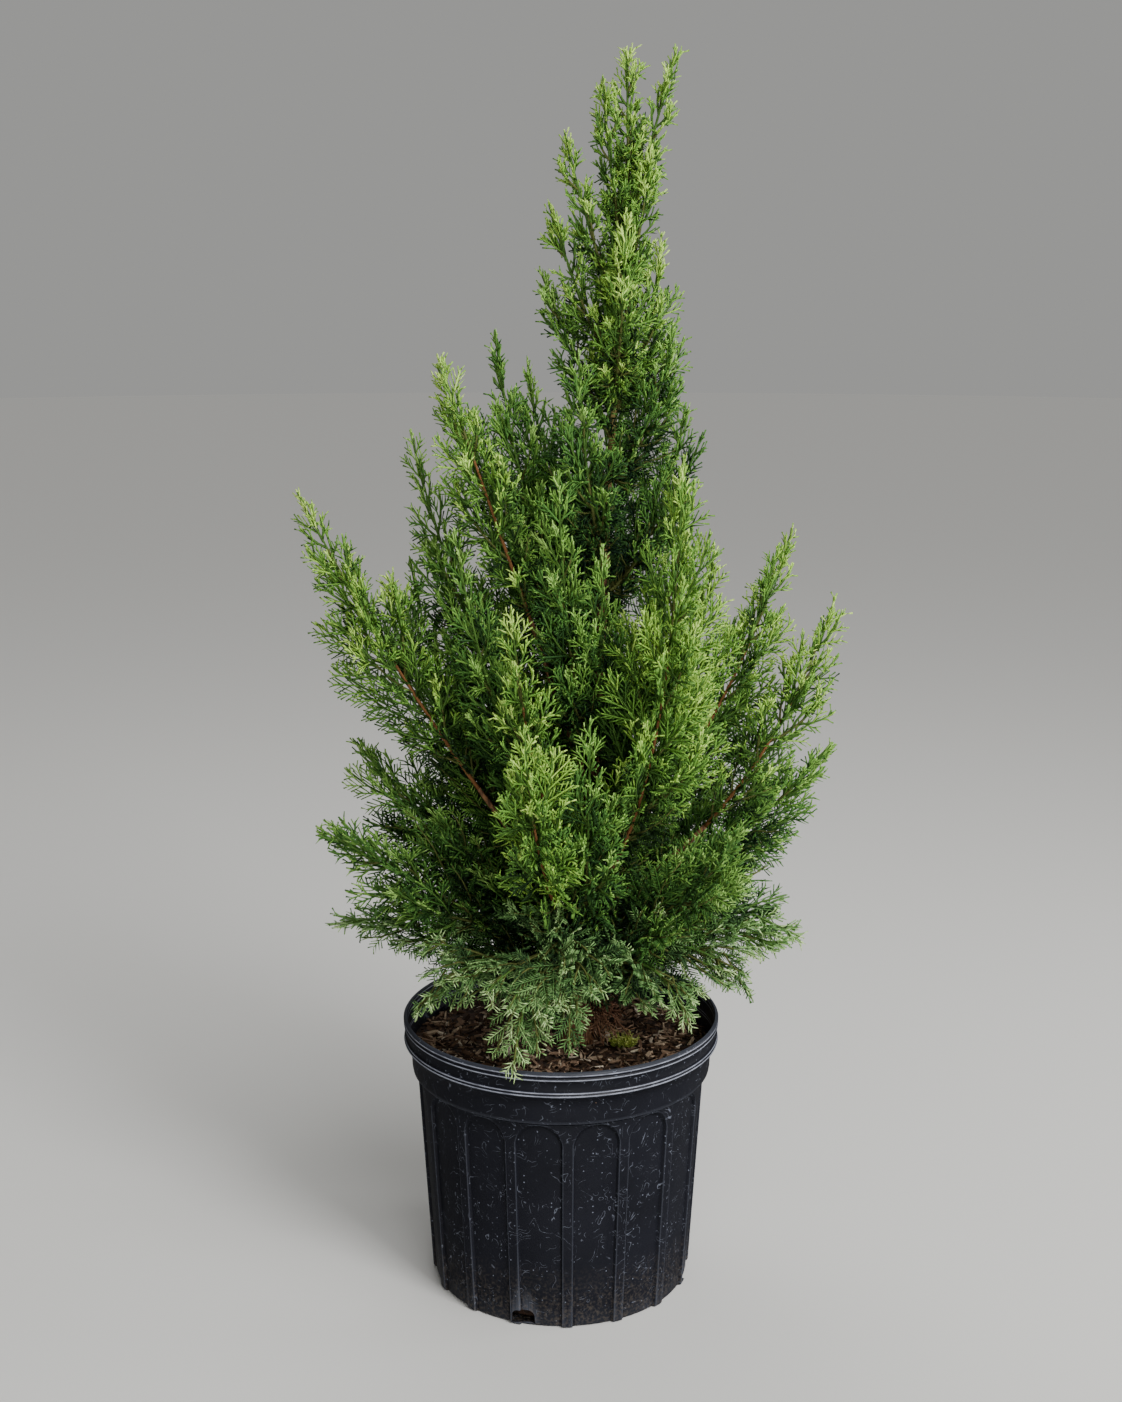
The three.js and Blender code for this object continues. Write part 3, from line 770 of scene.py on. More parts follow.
# Every limb of the crown, by the colour of its foliage and from the top down. In millimetres: where it
# leaves the trunk, its reach, the height of its tip, how far out and up its bend lies, and the radius
# of its foliage. Its turn is from the front round to the right, and bare is a share of its length.
Limb = namedtuple("Limb", "name start turn reach top out up girth bare")
LIMBS = {
    "bright": [
        Limb("leader_tip", 940, -90, 2, 1048, 0, 50, 15, 0),
        Limb("leader_fork", 912, 90, 39, 1048, 16, 50, 14, 0),
        Limb("leader_left_top", 890, -75, 18, 1026, 12, 55, 17, 0),
        Limb("leader_right_upper", 858, 66, 24, 979, 20, 45, 16, 0),
        Limb("leader_left_upper", 842, -84, 45, 985, 26, 62, 18, 0),
        Limb("leader_back", 800, 176, 42, 940, 30, 45, 25, 0),
        Limb("leader_left_mid", 790, -80, 55, 929, 30, 60, 21, 0),
        Limb("leader_front", 772, 10, 41, 924, 30, 45, 23, 0),
        Limb("leader_right_mid", 762, 92, 38, 906, 30, 45, 22, 0),
        Limb("flank_front", 440, -66, 134, 811, 66, 185, 30, 0.42),
        Limb("flame_side", 388, 68, 110, 660, 92, 80, 38, 0),
        Limb("wing_right", 366, 94, 173, 667, 114, 100, 30, 0.34),
        Limb("centre_small", 356, -34, 108, 617, 84, 80, 26, 0.34),
        Limb("flame", 342, 37, 124, 737, 113, 90, 50, 0.24),
        Limb("wing_right_low", 330, 80, 208, 615, 148, 84, 32, 0.4),
        Limb("wing_left", 326, -83, 236, 702, 130, 158, 42, 0.36),
        Limb("apron_front", 306, -20, 138, 529, 116, 62, 40, 0.24),
    ],
    "green": [
        Limb("leader_left_low", 740, -103, 60, 877, 30, 66, 20, 0),
        Limb("leader_right_low", 705, 76, 52, 835, 38, 36, 29, 0),
        Limb("shoulder_front", 640, -28, 47, 815, 36, 56, 31, 0),
        Limb("shoulder_right", 610, 94, 68, 770, 50, 36, 29, 0),
        Limb("shoulder_left", 590, -112, 66, 806, 46, 70, 40, 0),
        Limb("back_tall", 560, 172, 84, 800, 62, 80, 34, 0),
        Limb("flank_tall", 535, -88, 84, 829, 60, 104, 43, 0),
        Limb("column_front", 480, 6, 60, 662, 52, 44, 31, 0),
        Limb("centre_front", 470, -22, 78, 722, 62, 80, 30, 0),
        Limb("back_left", 425, -142, 128, 720, 92, 95, 38, 0.26),
        Limb("back_right", 410, 138, 128, 690, 94, 90, 38, 0),
        Limb("flank_left", 398, -98, 150, 746, 98, 120, 44, 0),
        Limb("flank_inner", 374, -60, 124, 675, 90, 95, 31, 0),
        Limb("wing_left_back", 350, -106, 156, 636, 122, 84, 32, 0),
        Limb("back_mid", 345, 176, 165, 600, 124, 84, 42, 0),
        Limb("arm_right", 302, 96, 216, 478, 134, 76, 44, 0),
        Limb("apron_centre", 318, 2, 112, 530, 94, 62, 36, 0),
    ],
    "blue": [
        Limb("back_low_left", 318, -132, 192, 530, 128, 80, 40, 0),
        Limb("back_low_right", 312, 128, 192, 515, 128, 80, 40, 0),
        Limb("arm_left", 300, -98, 195, 480, 122, 84, 50, 0),
        Limb("apron_right", 288, 54, 160, 440, 110, 64, 42, 0),
        Limb("arm_left_low", 282, -80, 224, 420, 132, 78, 48, 0),
        Limb("arm_right_low", 278, 84, 190, 318, 114, 74, 44, 0),
        Limb("skirt_right", 272, 66, 158, 278, 104, 84, 37, 0),
        Limb("skirt_back_right", 270, 124, 182, 318, 104, 64, 38, 0),
        Limb("skirt_back", 262, 178, 168, 300, 98, 70, 36, 0),
        Limb("skirt_back_left", 274, -150, 182, 312, 104, 64, 38, 0),
        Limb("skirt_left", 262, -90, 217, 322, 116, 70, 33, 0),
        Limb("skirt_left_front", 268, -56, 166, 274, 100, 80, 40, 0),
        Limb("skirt_front", 292, -22, 153, 242, 104, 82, 44, 0),
        Limb("skirt_centre", 280, -5, 124, 254, 88, 90, 42, 0),
        Limb("skirt_front_right", 264, 40, 140, 268, 94, 86, 40, 0),
    ],
}
BOUGH_FOOT_RADIUS = 0.0035
BOUGH_HEAD_RADIUS = 0.0020


def limb_line(limb):
    """A limb's whole curve: out of the trunk, round its bend and up or down to its tip."""
    rise = limb.start / 1000 - TRUNK_FOOT.z
    start = along_line(trunk_line, rise / (TRUNK_HEAD.z - TRUNK_FOOT.z))
    turn = math.radians(limb.turn)
    out = np.array((math.sin(turn), -math.cos(turn), 0))
    bend = start + out * limb.out / 1000 + (0, 0, limb.up / 1000)
    tip = start + out * limb.reach / 1000
    tip[2] = limb.top / 1000
    return bent_line(start, bend, tip)


every_limb = [(tint, limb) for tint, limbs in LIMBS.items() for limb in limbs]
for tint, limb in every_limb:
    if limb.bare:
        narrowing = (BOUGH_HEAD_RADIUS - BOUGH_FOOT_RADIUS) / limb.bare
        bough = bark_limb(
            "bough_bark_" + limb.name,
            limb_line(limb),
            0.0,
            limb.bare,
            lambda share: BOUGH_FOOT_RADIUS + narrowing * share,
            10,
        )
        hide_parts("bough_" + limb.name)
        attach(bough, "root")


# The foliage
# Each mass is one leafy limb: a stem, side branches that lean forward off it at the golden turn, and
# twigs in two rows on each branch, set with leaves. Its twigs are one mesh and its leaves another, each
# coloured by plain tones, spray by spray.

GOLDEN_TURN = math.pi * (3 - math.sqrt(5))
UP = np.array((0, 0, 1.0))
PLUME_STEP = 0.034
BRANCH_STEP = 0.0079
FINE_BRANCH_STEP = 0.0076
INNER_SHOOTS = 25
LIFT = {"bright": 0.35, "green": 0.4, "blue": 0.3}
BRANCH_LIFT = 0.04
TWIG_LIFT = 0.12

# Grown shoots bear cords of tiny scale leaves with blunt pale ends. Young and shaded ones, low down and
# inside, bear sharp needle leaves, on slimmer twigs that pale more towards their tips.
NEEDLED_SHARE = {"bright": 0.14, "green": 0.28, "blue": 0.55}
TWIG_STEP = {"cords": 0.007, "needles": 0.0092}
TWIG_SHARE = {"cords": 0.56, "needles": 0.6}
TWIG_SHORTEST = 0.006
TWIG_LONGEST = {"cords": 0.03, "needles": 0.04}
TWIG_LEAN = 36
TWIG_ROLL = {"cords": 0.28, "needles": 0.14}
TWIG_PALING = {"cords": 0.24, "needles": 0.44}
CORD_STEP = 0.003
CORD_LEAN = 33
CORD_RADIUS = 0.00096
NEEDLE_STEP = 0.0016
NEEDLE_LEAN = 48
NEEDLE_RADIUS = 0.0008
TWIG_RADIUS = {"cords": CORD_RADIUS, "needles": 0.6 * CORD_RADIUS}
BRANCH_RADIUS = {"cords": 0.00128, "needles": 0.0010}

# A stem's foot radius, the steps along it and the sides round it, on a limb and on a plume.
LIMB_STEM = (0.0018, 24, 6)
PLUME_STEM = (0.0011, 8, 4)
STEM_TIP_RADIUS = 0.0008

LEAF_TONES = {
    "bright": ["#22371d", "#466a2e", "#709f42", "#98c352", "#c4e674"],
    "green": ["#1b3020", "#315128", "#4f7b37", "#73a044", "#9ec867"],
    # The shaded tones are the green ones made darker: painted shade for the low arms that still climb.
    "shaded": ["#172819", "#2c4923", "#477032", "#6a9340", "#94bb62"],
    "blue": ["#1b2e1e", "#375330", "#5f864c", "#89af6b", "#bfdb98"],
}
TWIG_TONES = ["#7f5634", "#5d6334", "#4e7030"]

# A cord runs along x and has three sides and a blunt end, and a blade is a sliver with four faces.
CORD_FORM = np.array(
    [(0.0, 0.86, 0.0), (0.0, -0.43, 0.75), (0.0, -0.43, -0.75)]
    + [(0.88, 0.9, 0.0), (0.88, -0.45, 0.78), (0.88, -0.45, -0.78)]
    + [(1.0, 0.0, 0.0)]
)
CORD_FACES = np.array(
    [(0, 1, 4), (0, 4, 3), (1, 2, 5), (1, 5, 4), (2, 0, 3), (2, 3, 5)]
    + [(3, 4, 6), (4, 5, 6), (5, 3, 6)]
)
BLADE_FORM = np.array([(0.0, 0.85, 0.0), (0.0, -0.85, 0.0), (1.0, 0.0, 0.75), (1.0, 0.0, -0.75)])
BLADE_FACES = np.array([(0, 1, 2), (1, 0, 3), (0, 2, 3), (1, 3, 2)])


def unit(vectors):
    """Vectors brought to length one."""
    return vectors / np.linalg.norm(vectors, axis=-1, keepdims=True)


def fullness(share):
    """The share of its full girth that a mass has at shares of its length."""
    return np.minimum(1, 0.35 + 2.2 * share) * np.minimum(1, 1.62 * (1 - share) ** 0.75)


def line_length(line, first):
    """The length of a curve from a share of it to its tip."""
    points = along_line(line, np.linspace(first, 1, 25))
    return np.linalg.norm(np.diff(points, axis=0), axis=1).sum()


def spring_from(line, place, leans, turns, lengths, lift):
    """Curves that leave a line at places on it, each turned round it and lifted, with flat sides."""
    roots = along_line(line, place)
    forward = heading(line, place)
    level = cross_unit(forward, np.tile(UP + (0.01, 0.02, 0), (len(place), 1)))
    away = np.cos(turns)[:, None] * level + np.sin(turns)[:, None] * np.cross(forward, level)
    first = leans + 0.22
    last = leans - 0.26
    leave = forward * np.cos(first)[:, None] + away * np.sin(first)[:, None]
    arrive = forward * np.cos(last)[:, None] + away * np.sin(last)[:, None] + lift * UP
    bends = roots + leave * (0.5 * lengths)[:, None]
    tips = bends + unit(arrive) * (0.5 * lengths)[:, None]
    return np.stack([roots, bends, tips], 1), np.cross(forward, away)


def climb(limb):
    """How strongly a limb's shoots turn upwards: 1 on a steep limb, below 0 on one that droops."""
    return max(-1.0, min(1.0, (limb.top - limb.start) / limb.reach - 0.2))


def grow_plumes(limb, tint, rng):
    """A limb's own line and the plumes that rise from it, each with its girth, bare share and place."""
    line = limb_line(limb)
    span = line_length(line, limb.bare)
    girth = limb.girth / 1000
    plumes = [(line, girth, limb.bare, 0.0)]
    count = int(span / PLUME_STEP) + 2
    share = 0.76 * (np.arange(count) + 0.2 + 0.6 * rng.random(count)) / count
    room = girth * fullness(np.minimum(0.92, share + 0.12))
    leans = np.radians(rng.uniform(19, 31, count))
    lengths = np.clip(0.8 * room / np.sin(leans), 0.026, 0.12) * rng.uniform(0.8, 1.15, count)
    lengths = np.minimum(lengths, 0.85 * (0.98 - share) * span)
    turns = np.arange(count) * GOLDEN_TURN + 6 * rng.random()
    place = limb.bare + (1 - limb.bare) * share
    curves = spring_from(line, place, leans, turns, lengths, LIFT[tint] * climb(limb))[0]
    for i in range(count):
        plumes.append((curves[i], 0.52 * room[i], 0.0, share[i]))
    return plumes


def grow_branches(limb, line, girth, bare, step, rng):
    """The side branches of a plume and the one at its tip: curves, flat sides, lengths and places."""
    span = line_length(line, bare)
    droops = climb(limb) < 0
    count = max(2, int(span / (2 * step if droops else step)))
    order = np.arange(count)
    share = 0.02 + 0.92 * (order + 0.8 * rng.random(count)) / count
    leans = np.radians(40 - 18 * share + rng.normal(0, 6, count))
    room = girth * fullness(np.minimum(0.97, share + 0.5 * girth / span))
    lengths = np.clip(room / np.sin(leans), 0.011, 0.08) * rng.uniform(0.75, 1.15, count)
    lengths = np.minimum(lengths, (1.0 - share) * span + 0.002)
    turns = order * GOLDEN_TURN + rng.random(count)
    lift = -0.4 if droops else BRANCH_LIFT
    curves, flats = spring_from(line, bare + (1 - bare) * share, leans, turns, lengths, lift)
    if droops:
        # Drooping sprays hang like shingles, with their flat sides up and outwards.
        turn = math.radians(limb.turn)
        flats = np.array((math.sin(turn), -math.cos(turn), 0.6)) + rng.normal(0, 0.3, flats.shape)
    end = line[2]
    way = heading(line, 1.0)
    reach = min(0.046, 0.34 * span)
    tip_curve = np.stack([end - way * reach, end - way * reach / 2, end])[None]
    curves = np.concatenate([curves, tip_curve])
    flats = np.concatenate([flats, flats[:1]])
    return curves, flats, np.append(lengths, reach), np.append(share, 0.97)


def grow_inner_shoots(limb, rng):
    """The shaded shoots round a limb's inner end. They leave the end of a bare stretch free."""
    line = limb_line(limb)
    # Behind the trunk, below the leader, they are twice as many and go further out, and so they close
    # the crown there.
    behind = abs(limb.turn) > 90 and limb.start < 650
    count = 2 * INNER_SHOOTS if behind else INNER_SHOOTS
    last = 0.62 if behind else 0.36
    place = rng.uniform(0.02, 0.7 * limb.bare if limb.bare else last, count)
    leans = np.radians(rng.uniform(30, 75, count))
    turns = np.arange(count) * GOLDEN_TURN + 6 * rng.random()
    lengths = limb.girth / 1000 * rng.uniform(0.6, 1.0, count)
    curves, flats = spring_from(line, place, leans, turns, lengths, 0.1)
    return curves, flats, lengths


def side_shoots(curves, flats, counts, lean, lengths_at, rng, spread, first=0.05, lift=0.0):
    """Shoots in two rows on many curves: their roots, headings, lengths, curve numbers and places."""
    owner = np.repeat(np.arange(len(curves)), counts)
    start = np.repeat(np.cumsum(counts) - counts, counts)
    order = np.arange(counts.sum()) - start
    u = first + (0.97 - first) * (order + 0.5 + 0.4 * (rng.random(len(order)) - 0.5)) / counts[owner]
    line = curves[owner]
    roots = along_line(line, u)
    way = heading(line, u)
    side = cross_unit(flats[owner], way)
    across = np.cross(way, side)
    roll = spread * rng.normal(size=len(order))
    away = side * np.cos(roll)[:, None] + across * np.sin(roll)[:, None]
    away *= np.where(order % 2 == 0, 1, -1)[:, None]
    angle = np.radians(lean * (1.12 - 0.3 * u) + rng.normal(0, 4, len(order)))
    headings = unit(way * np.cos(angle)[:, None] + away * np.sin(angle)[:, None] + lift * UP)
    return roots, headings, lengths_at(u, owner), owner, u


def straight_curves(roots, headings, lengths):
    """Straight shoots as curves, so that finer ones can grow on them."""
    tips = roots + headings * lengths[:, None]
    return np.stack([roots, (roots + tips) / 2, tips], 1)


def clear_of_pot(roots, headings, lengths):
    """Which shoots stay out of the pot's wall and above the potting bark."""
    clear = np.ones(len(roots), bool)
    for reach in (0.0, 0.5, 1.0):
        point = roots + headings * (reach * lengths)[:, None]
        radius = np.hypot(point[:, 0], point[:, 1])
        sunk = (radius < MOUTH_RADIUS) & (point[:, 2] < BARK_TOP + 0.001)
        in_wall = (radius > MOUTH_RADIUS - 0.002) & (radius < LIP_RADIUS + 0.001)
        clear &= ~(sunk | (in_wall & (point[:, 2] < POT_HEIGHT + 0.001)))
    return clear


def set_leaves(form, form_faces, shoots, radius, tones, rng):
    """Points, faces and tone numbers of many leaves of one form. A cord's end is a tone paler."""
    roots, headings, lengths = shoots[:3]
    keep = clear_of_pot(roots, headings, lengths)
    roots, headings, lengths, tones = roots[keep], headings[keep], lengths[keep], tones[keep]
    side = cross_unit(headings, rng.normal(size=headings.shape))
    axes = np.stack([headings, side, np.cross(headings, side)], 1)
    radii = radius * rng.uniform(0.88, 1.14, len(roots))
    sizes = np.stack([lengths, radii, radii], 1)
    points, faces = many_of(form, form_faces, roots, axes, sizes)
    slots = np.repeat(tones, len(form_faces)).reshape(-1, len(form_faces))
    if form is CORD_FORM:
        slots[:, -3:] += 1
    return points, faces, np.minimum(slots, 4).ravel()


def pick_tone(tone, rng):
    """Tone numbers from 0, the deepest, to 4, the palest."""
    return np.clip((tone * 5 + 0.35 * rng.normal(size=len(tone))).astype(int), 0, 4)


def grow_leaves(curves, flats, lengths, branch_tone, young, lift, rng):
    """The twigs and leaves on a set of branches, as parts of one mesh. Young ones bear needles."""
    kind = "needles" if young else "cords"
    counts = np.maximum(3, (lengths / TWIG_STEP[kind]).astype(int))

    def twig_length(u, owner):
        swell = np.minimum(1, 0.7 + 2.6 * u) * (1 - u) ** 0.7
        return np.clip(TWIG_SHARE[kind] * lengths[owner] * swell, TWIG_SHORTEST, TWIG_LONGEST[kind])

    roots, headings, reach, owner, u = side_shoots(
        curves, flats, counts, TWIG_LEAN, twig_length, rng, spread=TWIG_ROLL[kind], lift=lift
    )
    reach = reach * rng.uniform(0.8, 1.18, len(reach))
    tone = branch_tone[owner] + TWIG_PALING[kind] * (u - 0.45) + rng.normal(0, 0.06, len(u))
    twig_curves = straight_curves(roots, headings, reach)
    twig_flats = cross_unit(headings, heading(curves[owner], u) + rng.normal(0, 0.2, headings.shape))
    end_ways = heading(curves, np.ones(len(curves)))
    ends = (
        np.concatenate([roots, curves[:, 2] - end_ways * 0.008]),
        np.concatenate([headings, end_ways]),
        np.concatenate([reach, np.full(len(curves), 0.011)]),
    )
    end_tones = pick_tone(np.concatenate([tone, branch_tone + 0.1]), rng)
    body = set_leaves(CORD_FORM, CORD_FACES, ends, TWIG_RADIUS[kind], end_tones, rng)
    if young:
        fine_counts = np.maximum(4, (reach / NEEDLE_STEP).astype(int))
        # A needle is 9.2 mm long at a twig's foot and 5.8 mm at its tip.
        fine = side_shoots(
            twig_curves,
            twig_flats,
            fine_counts,
            NEEDLE_LEAN,
            lambda v, o: 0.0092 - 0.0034 * v,
            rng,
            spread=0.08,
        )
        tones = pick_tone(tone[fine[3]] + 0.03, rng)
        return [body, set_leaves(BLADE_FORM, BLADE_FACES, fine, NEEDLE_RADIUS, tones, rng)]
    fine_counts = np.maximum(0, np.round(reach / CORD_STEP - 0.4).astype(int))
    # A cord is 6 to 12.5 mm long, and longest at the foot of a long twig.
    fine = side_shoots(
        twig_curves,
        twig_flats,
        fine_counts,
        CORD_LEAN,
        lambda v, o: np.clip(0.55 * (1 - v) * reach[o] + 0.0045, 0.0062, 0.0125),
        rng,
        first=0.08,
        spread=0.22,
        lift=lift / 2,
    )
    tones = pick_tone(tone[fine[3]] + 0.02, rng)
    return [body, set_leaves(BLADE_FORM, BLADE_FACES, fine, CORD_RADIUS, tones, rng)]


def merge(parts):
    """Several sets of points, faces and tone numbers as one."""
    shifts = np.cumsum([0] + [len(part[0]) for part in parts[:-1]])
    points = np.concatenate([part[0] for part in parts])
    faces = np.concatenate([part[1] + shift for part, shift in zip(parts, shifts)])
    slots = np.concatenate([part[2] for part in parts])
    return points, faces, slots


def grow_stem(line, bare, foot_radius, steps, sides):
    """A stem as a tapering tube: rusty where a bough bears it, then olive, and green at its tip."""
    place = bare + (0.97 - bare) * np.linspace(0, 1, steps)
    narrowing = (1 - np.linspace(0, 1, steps)) ** 1.4
    radii = STEM_TIP_RADIUS + (foot_radius - STEM_TIP_RADIUS) * narrowing
    points, faces = tube(along_line(line, place)[None], radii[None], heading(line, place)[None], sides)
    ring = np.minimum(np.arange(len(faces)) // (2 * sides), steps - 1) / steps
    rusty = 0.6 if bare else 0.0
    return points, faces, np.where(ring < rusty, 0, np.where(ring < 0.5 * (rusty + 1), 1, 2))


def grow_branch_bark(curves, needled):
    """The side branches as slim three-sided tubes, thick and green where they bear scale leaves."""
    t = np.linspace(0, 1, 4)
    centres = np.stack([along_line(curves, np.full(len(curves), each)) for each in t], 1)
    ways = np.stack([heading(curves, np.full(len(curves), each)) for each in t], 1)
    foot_radii = np.where(needled, BRANCH_RADIUS["needles"], BRANCH_RADIUS["cords"])
    radii = foot_radii[:, None] * np.linspace(1.0, 0.75, 4)
    points, faces = tube(centres, radii, ways, 3)
    slots = np.repeat(np.where(needled, 1, 2), len(faces) // len(curves))
    return points, faces, slots


def grow_mass(limb, tint, rng):
    """All the leaves and twigs of one mass, as arrays for its two meshes."""
    leaves = []
    twigs = []
    curves, flats, lengths = grow_inner_shoots(limb, rng)
    # The inner shoots' deep tones are painted shade.
    # Up in the leader, where light comes through, they are paler than down inside the crown.
    tones = rng.uniform(0.02, 0.3, len(curves)) + max(0, limb.start - 600) / 1400
    leaves += grow_leaves(curves, flats, lengths, tones, True, 0.0, rng)
    twigs.append(grow_branch_bark(curves, np.ones(len(curves), bool)))
    for number, (line, girth, bare, start) in enumerate(grow_plumes(limb, tint, rng)):
        own = number == 0
        step = BRANCH_STEP if own else FINE_BRANCH_STEP
        curves, flats, lengths, share = grow_branches(limb, line, girth, bare, step, rng)
        share = start + (1 - start) * share
        # The tones are partly the paler young growth at the tips, and partly painted shade, deepest
        # inside the crown.
        # A climbing limb pales towards its tip. On a drooping one each frond pales towards its own.
        paling = 0.2 + 0.53 * share if climb(limb) > 0 else 0.4 + 0.24 * share
        branch_tone = paling + rng.normal(0, 0.09, len(share))
        needled = share + rng.normal(0, 0.08, len(share)) < NEEDLED_SHARE[tint]
        if climb(limb) < 0:
            needled[:] = True
        for young in (False, True):
            some = needled == young
            if some.any():
                leaves += grow_leaves(
                    curves[some],
                    flats[some],
                    lengths[some],
                    branch_tone[some],
                    young,
                    TWIG_LIFT * climb(limb),
                    rng,
                )
        twigs.append(grow_stem(line, bare, *(LIMB_STEM if own else PLUME_STEM)))
        twigs.append(grow_branch_bark(curves, needled))
    return merge(leaves), merge(twigs)


def leaf_palette(name, codes):
    """One plain material for each tone of a kind of foliage."""
    return [plain_material(f"leaf_{name}_{i}", code, 0.55) for i, code in enumerate(codes)]


twig_materials = [plain_material(f"twig_bark_{i}", code, 0.7) for i, code in enumerate(TWIG_TONES)]
leaf_materials = {tint: leaf_palette(tint, codes) for tint, codes in LEAF_TONES.items()}
for number, (tint, limb) in enumerate(every_limb):
    leaf_arrays, twig_arrays = grow_mass(limb, tint, np.random.default_rng(7919 * number + 17))
    # The low arms that still climb are a green darkened by painted shade. Only the skirts that droop
    # are blue-green.
    shown_tint = "shaded" if tint == "blue" and climb(limb) > 0.2 else tint
    for name, arrays, materials in (
        ("leaves_" + limb.name, leaf_arrays, leaf_materials[shown_tint]),
        ("twigs_" + limb.name, twig_arrays, twig_materials),
    ):
        piece = joined_mesh(name, *arrays, materials)
        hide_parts("mass_" + limb.name)
        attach(piece, "root")


# The moss and the dead sprays
# A thumbnail of bright moss grows on the bark mix in front of the trunk, on the right. Beside it four
# shaded sprays at the trunk's foot have died. They hang there brown, a little over the mix.

MOSS_PLACE = (0.054, -0.0155, BARK_TOP + 0.0012)
MOSS_RADIUS = 0.0085
MOSS_STEMS = 46
MOSS_LEAVES = 12
MOSS_LEAF_LEAN = 44
MOSS_LEAF_RADIUS = 0.0006
MOSS_TONES = ["#405222", "#6a7d34", "#94a446", "#bcc95e", "#dbe284"]
DEAD_ROOT = (0.02, -0.006, 0.262)
DEAD_TIPS = [
    (0.036, -0.038, 0.228),
    (0.047, -0.032, 0.232),
    (0.022, -0.036, 0.231),
    (0.058, -0.02, 0.229),
]
DEAD_BOW = 0.007
DEAD_TONES = ["#33211a", "#543829", "#775540", "#967458", "#b3937a"]


def grow_moss(rng):
    """Close-set stems that lean outwards from the middle of the cushion, with leaves all round them."""
    spread = MOSS_RADIUS * np.sqrt(rng.random(MOSS_STEMS))
    turn = rng.random(MOSS_STEMS) * 2 * math.pi
    offsets = np.stack([spread * np.cos(turn), 0.7 * spread * np.sin(turn), np.zeros(MOSS_STEMS)], 1)
    headings = unit(offsets / MOSS_RADIUS + 1.1 * UP + rng.normal(0, 0.2, offsets.shape))
    lengths = rng.uniform(0.005, 0.013, MOSS_STEMS)
    stems = straight_curves(offsets + MOSS_PLACE, headings, lengths)
    flats = cross_unit(headings, rng.normal(size=headings.shape))
    counts = np.full(MOSS_STEMS, MOSS_LEAVES)
    fine = side_shoots(
        stems, flats, counts, MOSS_LEAF_LEAN, lambda v, o: 0.0034 - 0.001 * v, rng, spread=1.2
    )
    tones = pick_tone(0.3 + 0.65 * fine[4], rng)
    return set_leaves(BLADE_FORM, BLADE_FACES, fine, MOSS_LEAF_RADIUS, tones, rng)


moss_arrays = grow_moss(np.random.default_rng(3))
moss = joined_mesh("moss_cushion", *moss_arrays, leaf_palette("moss", MOSS_TONES))
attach(moss, "root")


def grow_dead_sprays(rng):
    """Needled sprays that hang from one place on the trunk's foot, each bowed a little on its way."""
    root = np.array(DEAD_ROOT)
    tips = np.array(DEAD_TIPS)
    count = len(tips)
    bends = (root + tips) / 2 + (0, 0, DEAD_BOW)
    curves = np.stack([np.tile(root, (count, 1)), bends, tips], 1)
    flats = cross_unit(tips - root, np.tile((1.0, 0.2, 0.0), (count, 1)))
    lengths = np.linalg.norm(tips - root, axis=1)
    leaves = grow_leaves(curves, flats, lengths, np.full(count, 0.5), True, 0.0, rng)
    points, faces, _ = grow_branch_bark(curves, np.ones(count, bool))
    return merge([*leaves, (points, faces, np.full(len(faces), 2))])


dead_arrays = grow_dead_sprays(np.random.default_rng(11))
dead_sprays = joined_mesh("dead_sprays", *dead_arrays, leaf_palette("dead", DEAD_TONES))
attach(dead_sprays, "root")


# The floor, the lights and the camera
# A plain pale floor in soft studio light. The camera stands 1.6 m from the plant's middle and 0.89 m
# up, where the photo was taken from, and looks a little down.

FLOOR_RADIUS = 12.0
CAMERA_PLACE = (0, -1.612, 0.8854)
CAMERA_PITCH = 12.73

bpy.ops.object.select_all(action="DESELECT")
bpy.ops.mesh.primitive_circle_add(
    vertices=96, radius=FLOOR_RADIUS, fill_type="NGON", location=(0, 0, 0)
)
floor = bpy.context.object
floor.name = "studio_floor"
floor.data.materials.append(plain_material("pale_floor", "#e2e1dd", 0.9))
# The photo has no floor to mirror in the pot's wall, so this one doesn't show in it either.
floor.visible_glossy = False


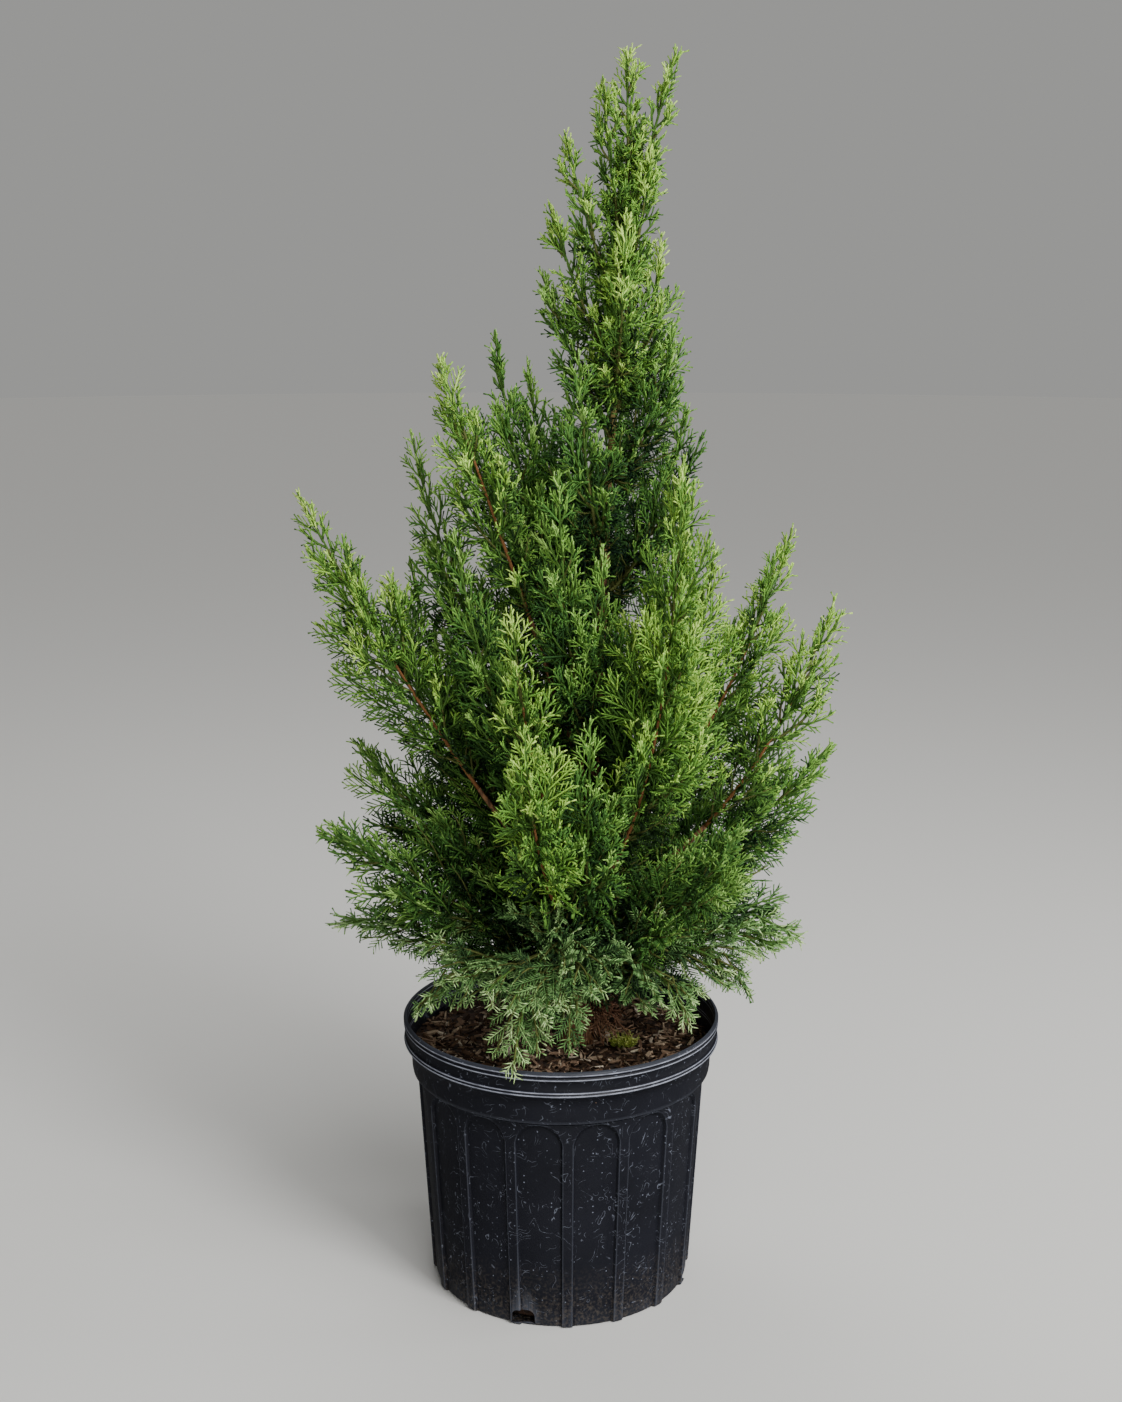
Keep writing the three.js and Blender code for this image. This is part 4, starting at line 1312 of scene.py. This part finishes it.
def add_softbox(name, place, aim, size, power):
    """A square soft light that faces a point."""
    bpy.ops.object.light_add(type="AREA", location=place)
    light = bpy.context.object
    light.name = name
    light.data.size = size
    light.data.energy = power
    light.rotation_euler = (Vector(aim) - Vector(place)).to_track_quat("-Z", "Y").to_euler()


add_softbox("key_softbox", (1.35, -1.75, 2.0), (0, 0, 0.5), 0.8, 50)
add_softbox("side_softbox", (2.0, 0.2, 0.38), (0, 0, 0.12), 0.6, 14)
add_softbox("fill_softbox", (0.25, -2.3, 0.6), (0, 0, 0.35), 1.2, 17)
add_softbox("top_softbox", (-0.2, 0.9, 2.4), (0, 0, 0.6), 1.2, 14)

# A broad even light stands in for the studio's ceiling, so that the floor stays pale to its far edge.
bpy.ops.object.light_add(type="SUN", location=(0, 0, 3))
ceiling = bpy.context.object
ceiling.name = "ceiling_light"
ceiling.data.energy = 1.4
ceiling.data.angle = math.radians(40)
ceiling.rotation_euler = (math.radians(35), 0, math.radians(38))

world = bpy.data.worlds.new("studio_air")
bpy.context.scene.world = world
world.use_nodes = True
air = world.node_tree
soft_light = air.nodes["Background"]
soft_light.inputs["Color"].default_value = linear("#ccccca")
soft_light.inputs["Strength"].default_value = 0.18
seen = add_node(air, "ShaderNodeBackground", {"Color": linear("#9d9d9b"), "Strength": 1.0})
ray = add_node(air, "ShaderNodeLightPath")
both = add_node(
    air,
    "ShaderNodeMixShader",
    {0: ray.outputs["Is Camera Ray"], 1: soft_light.outputs[0], 2: seen.outputs[0]},
)
air.links.new(both.outputs[0], air.nodes["World Output"].inputs["Surface"])

camera_data = bpy.data.cameras.new("camera")
camera = bpy.data.objects.new("camera", camera_data)
bpy.context.scene.collection.objects.link(camera)
camera.location = CAMERA_PLACE
camera.rotation_euler = (math.radians(90 - CAMERA_PITCH), 0, 0)
# The focal length and the sensor's width are in millimetres.
camera_data.lens = 50
camera_data.sensor_width = 36
camera_data.clip_start = 0.05
camera_data.clip_end = 60
bpy.context.scene.camera = camera
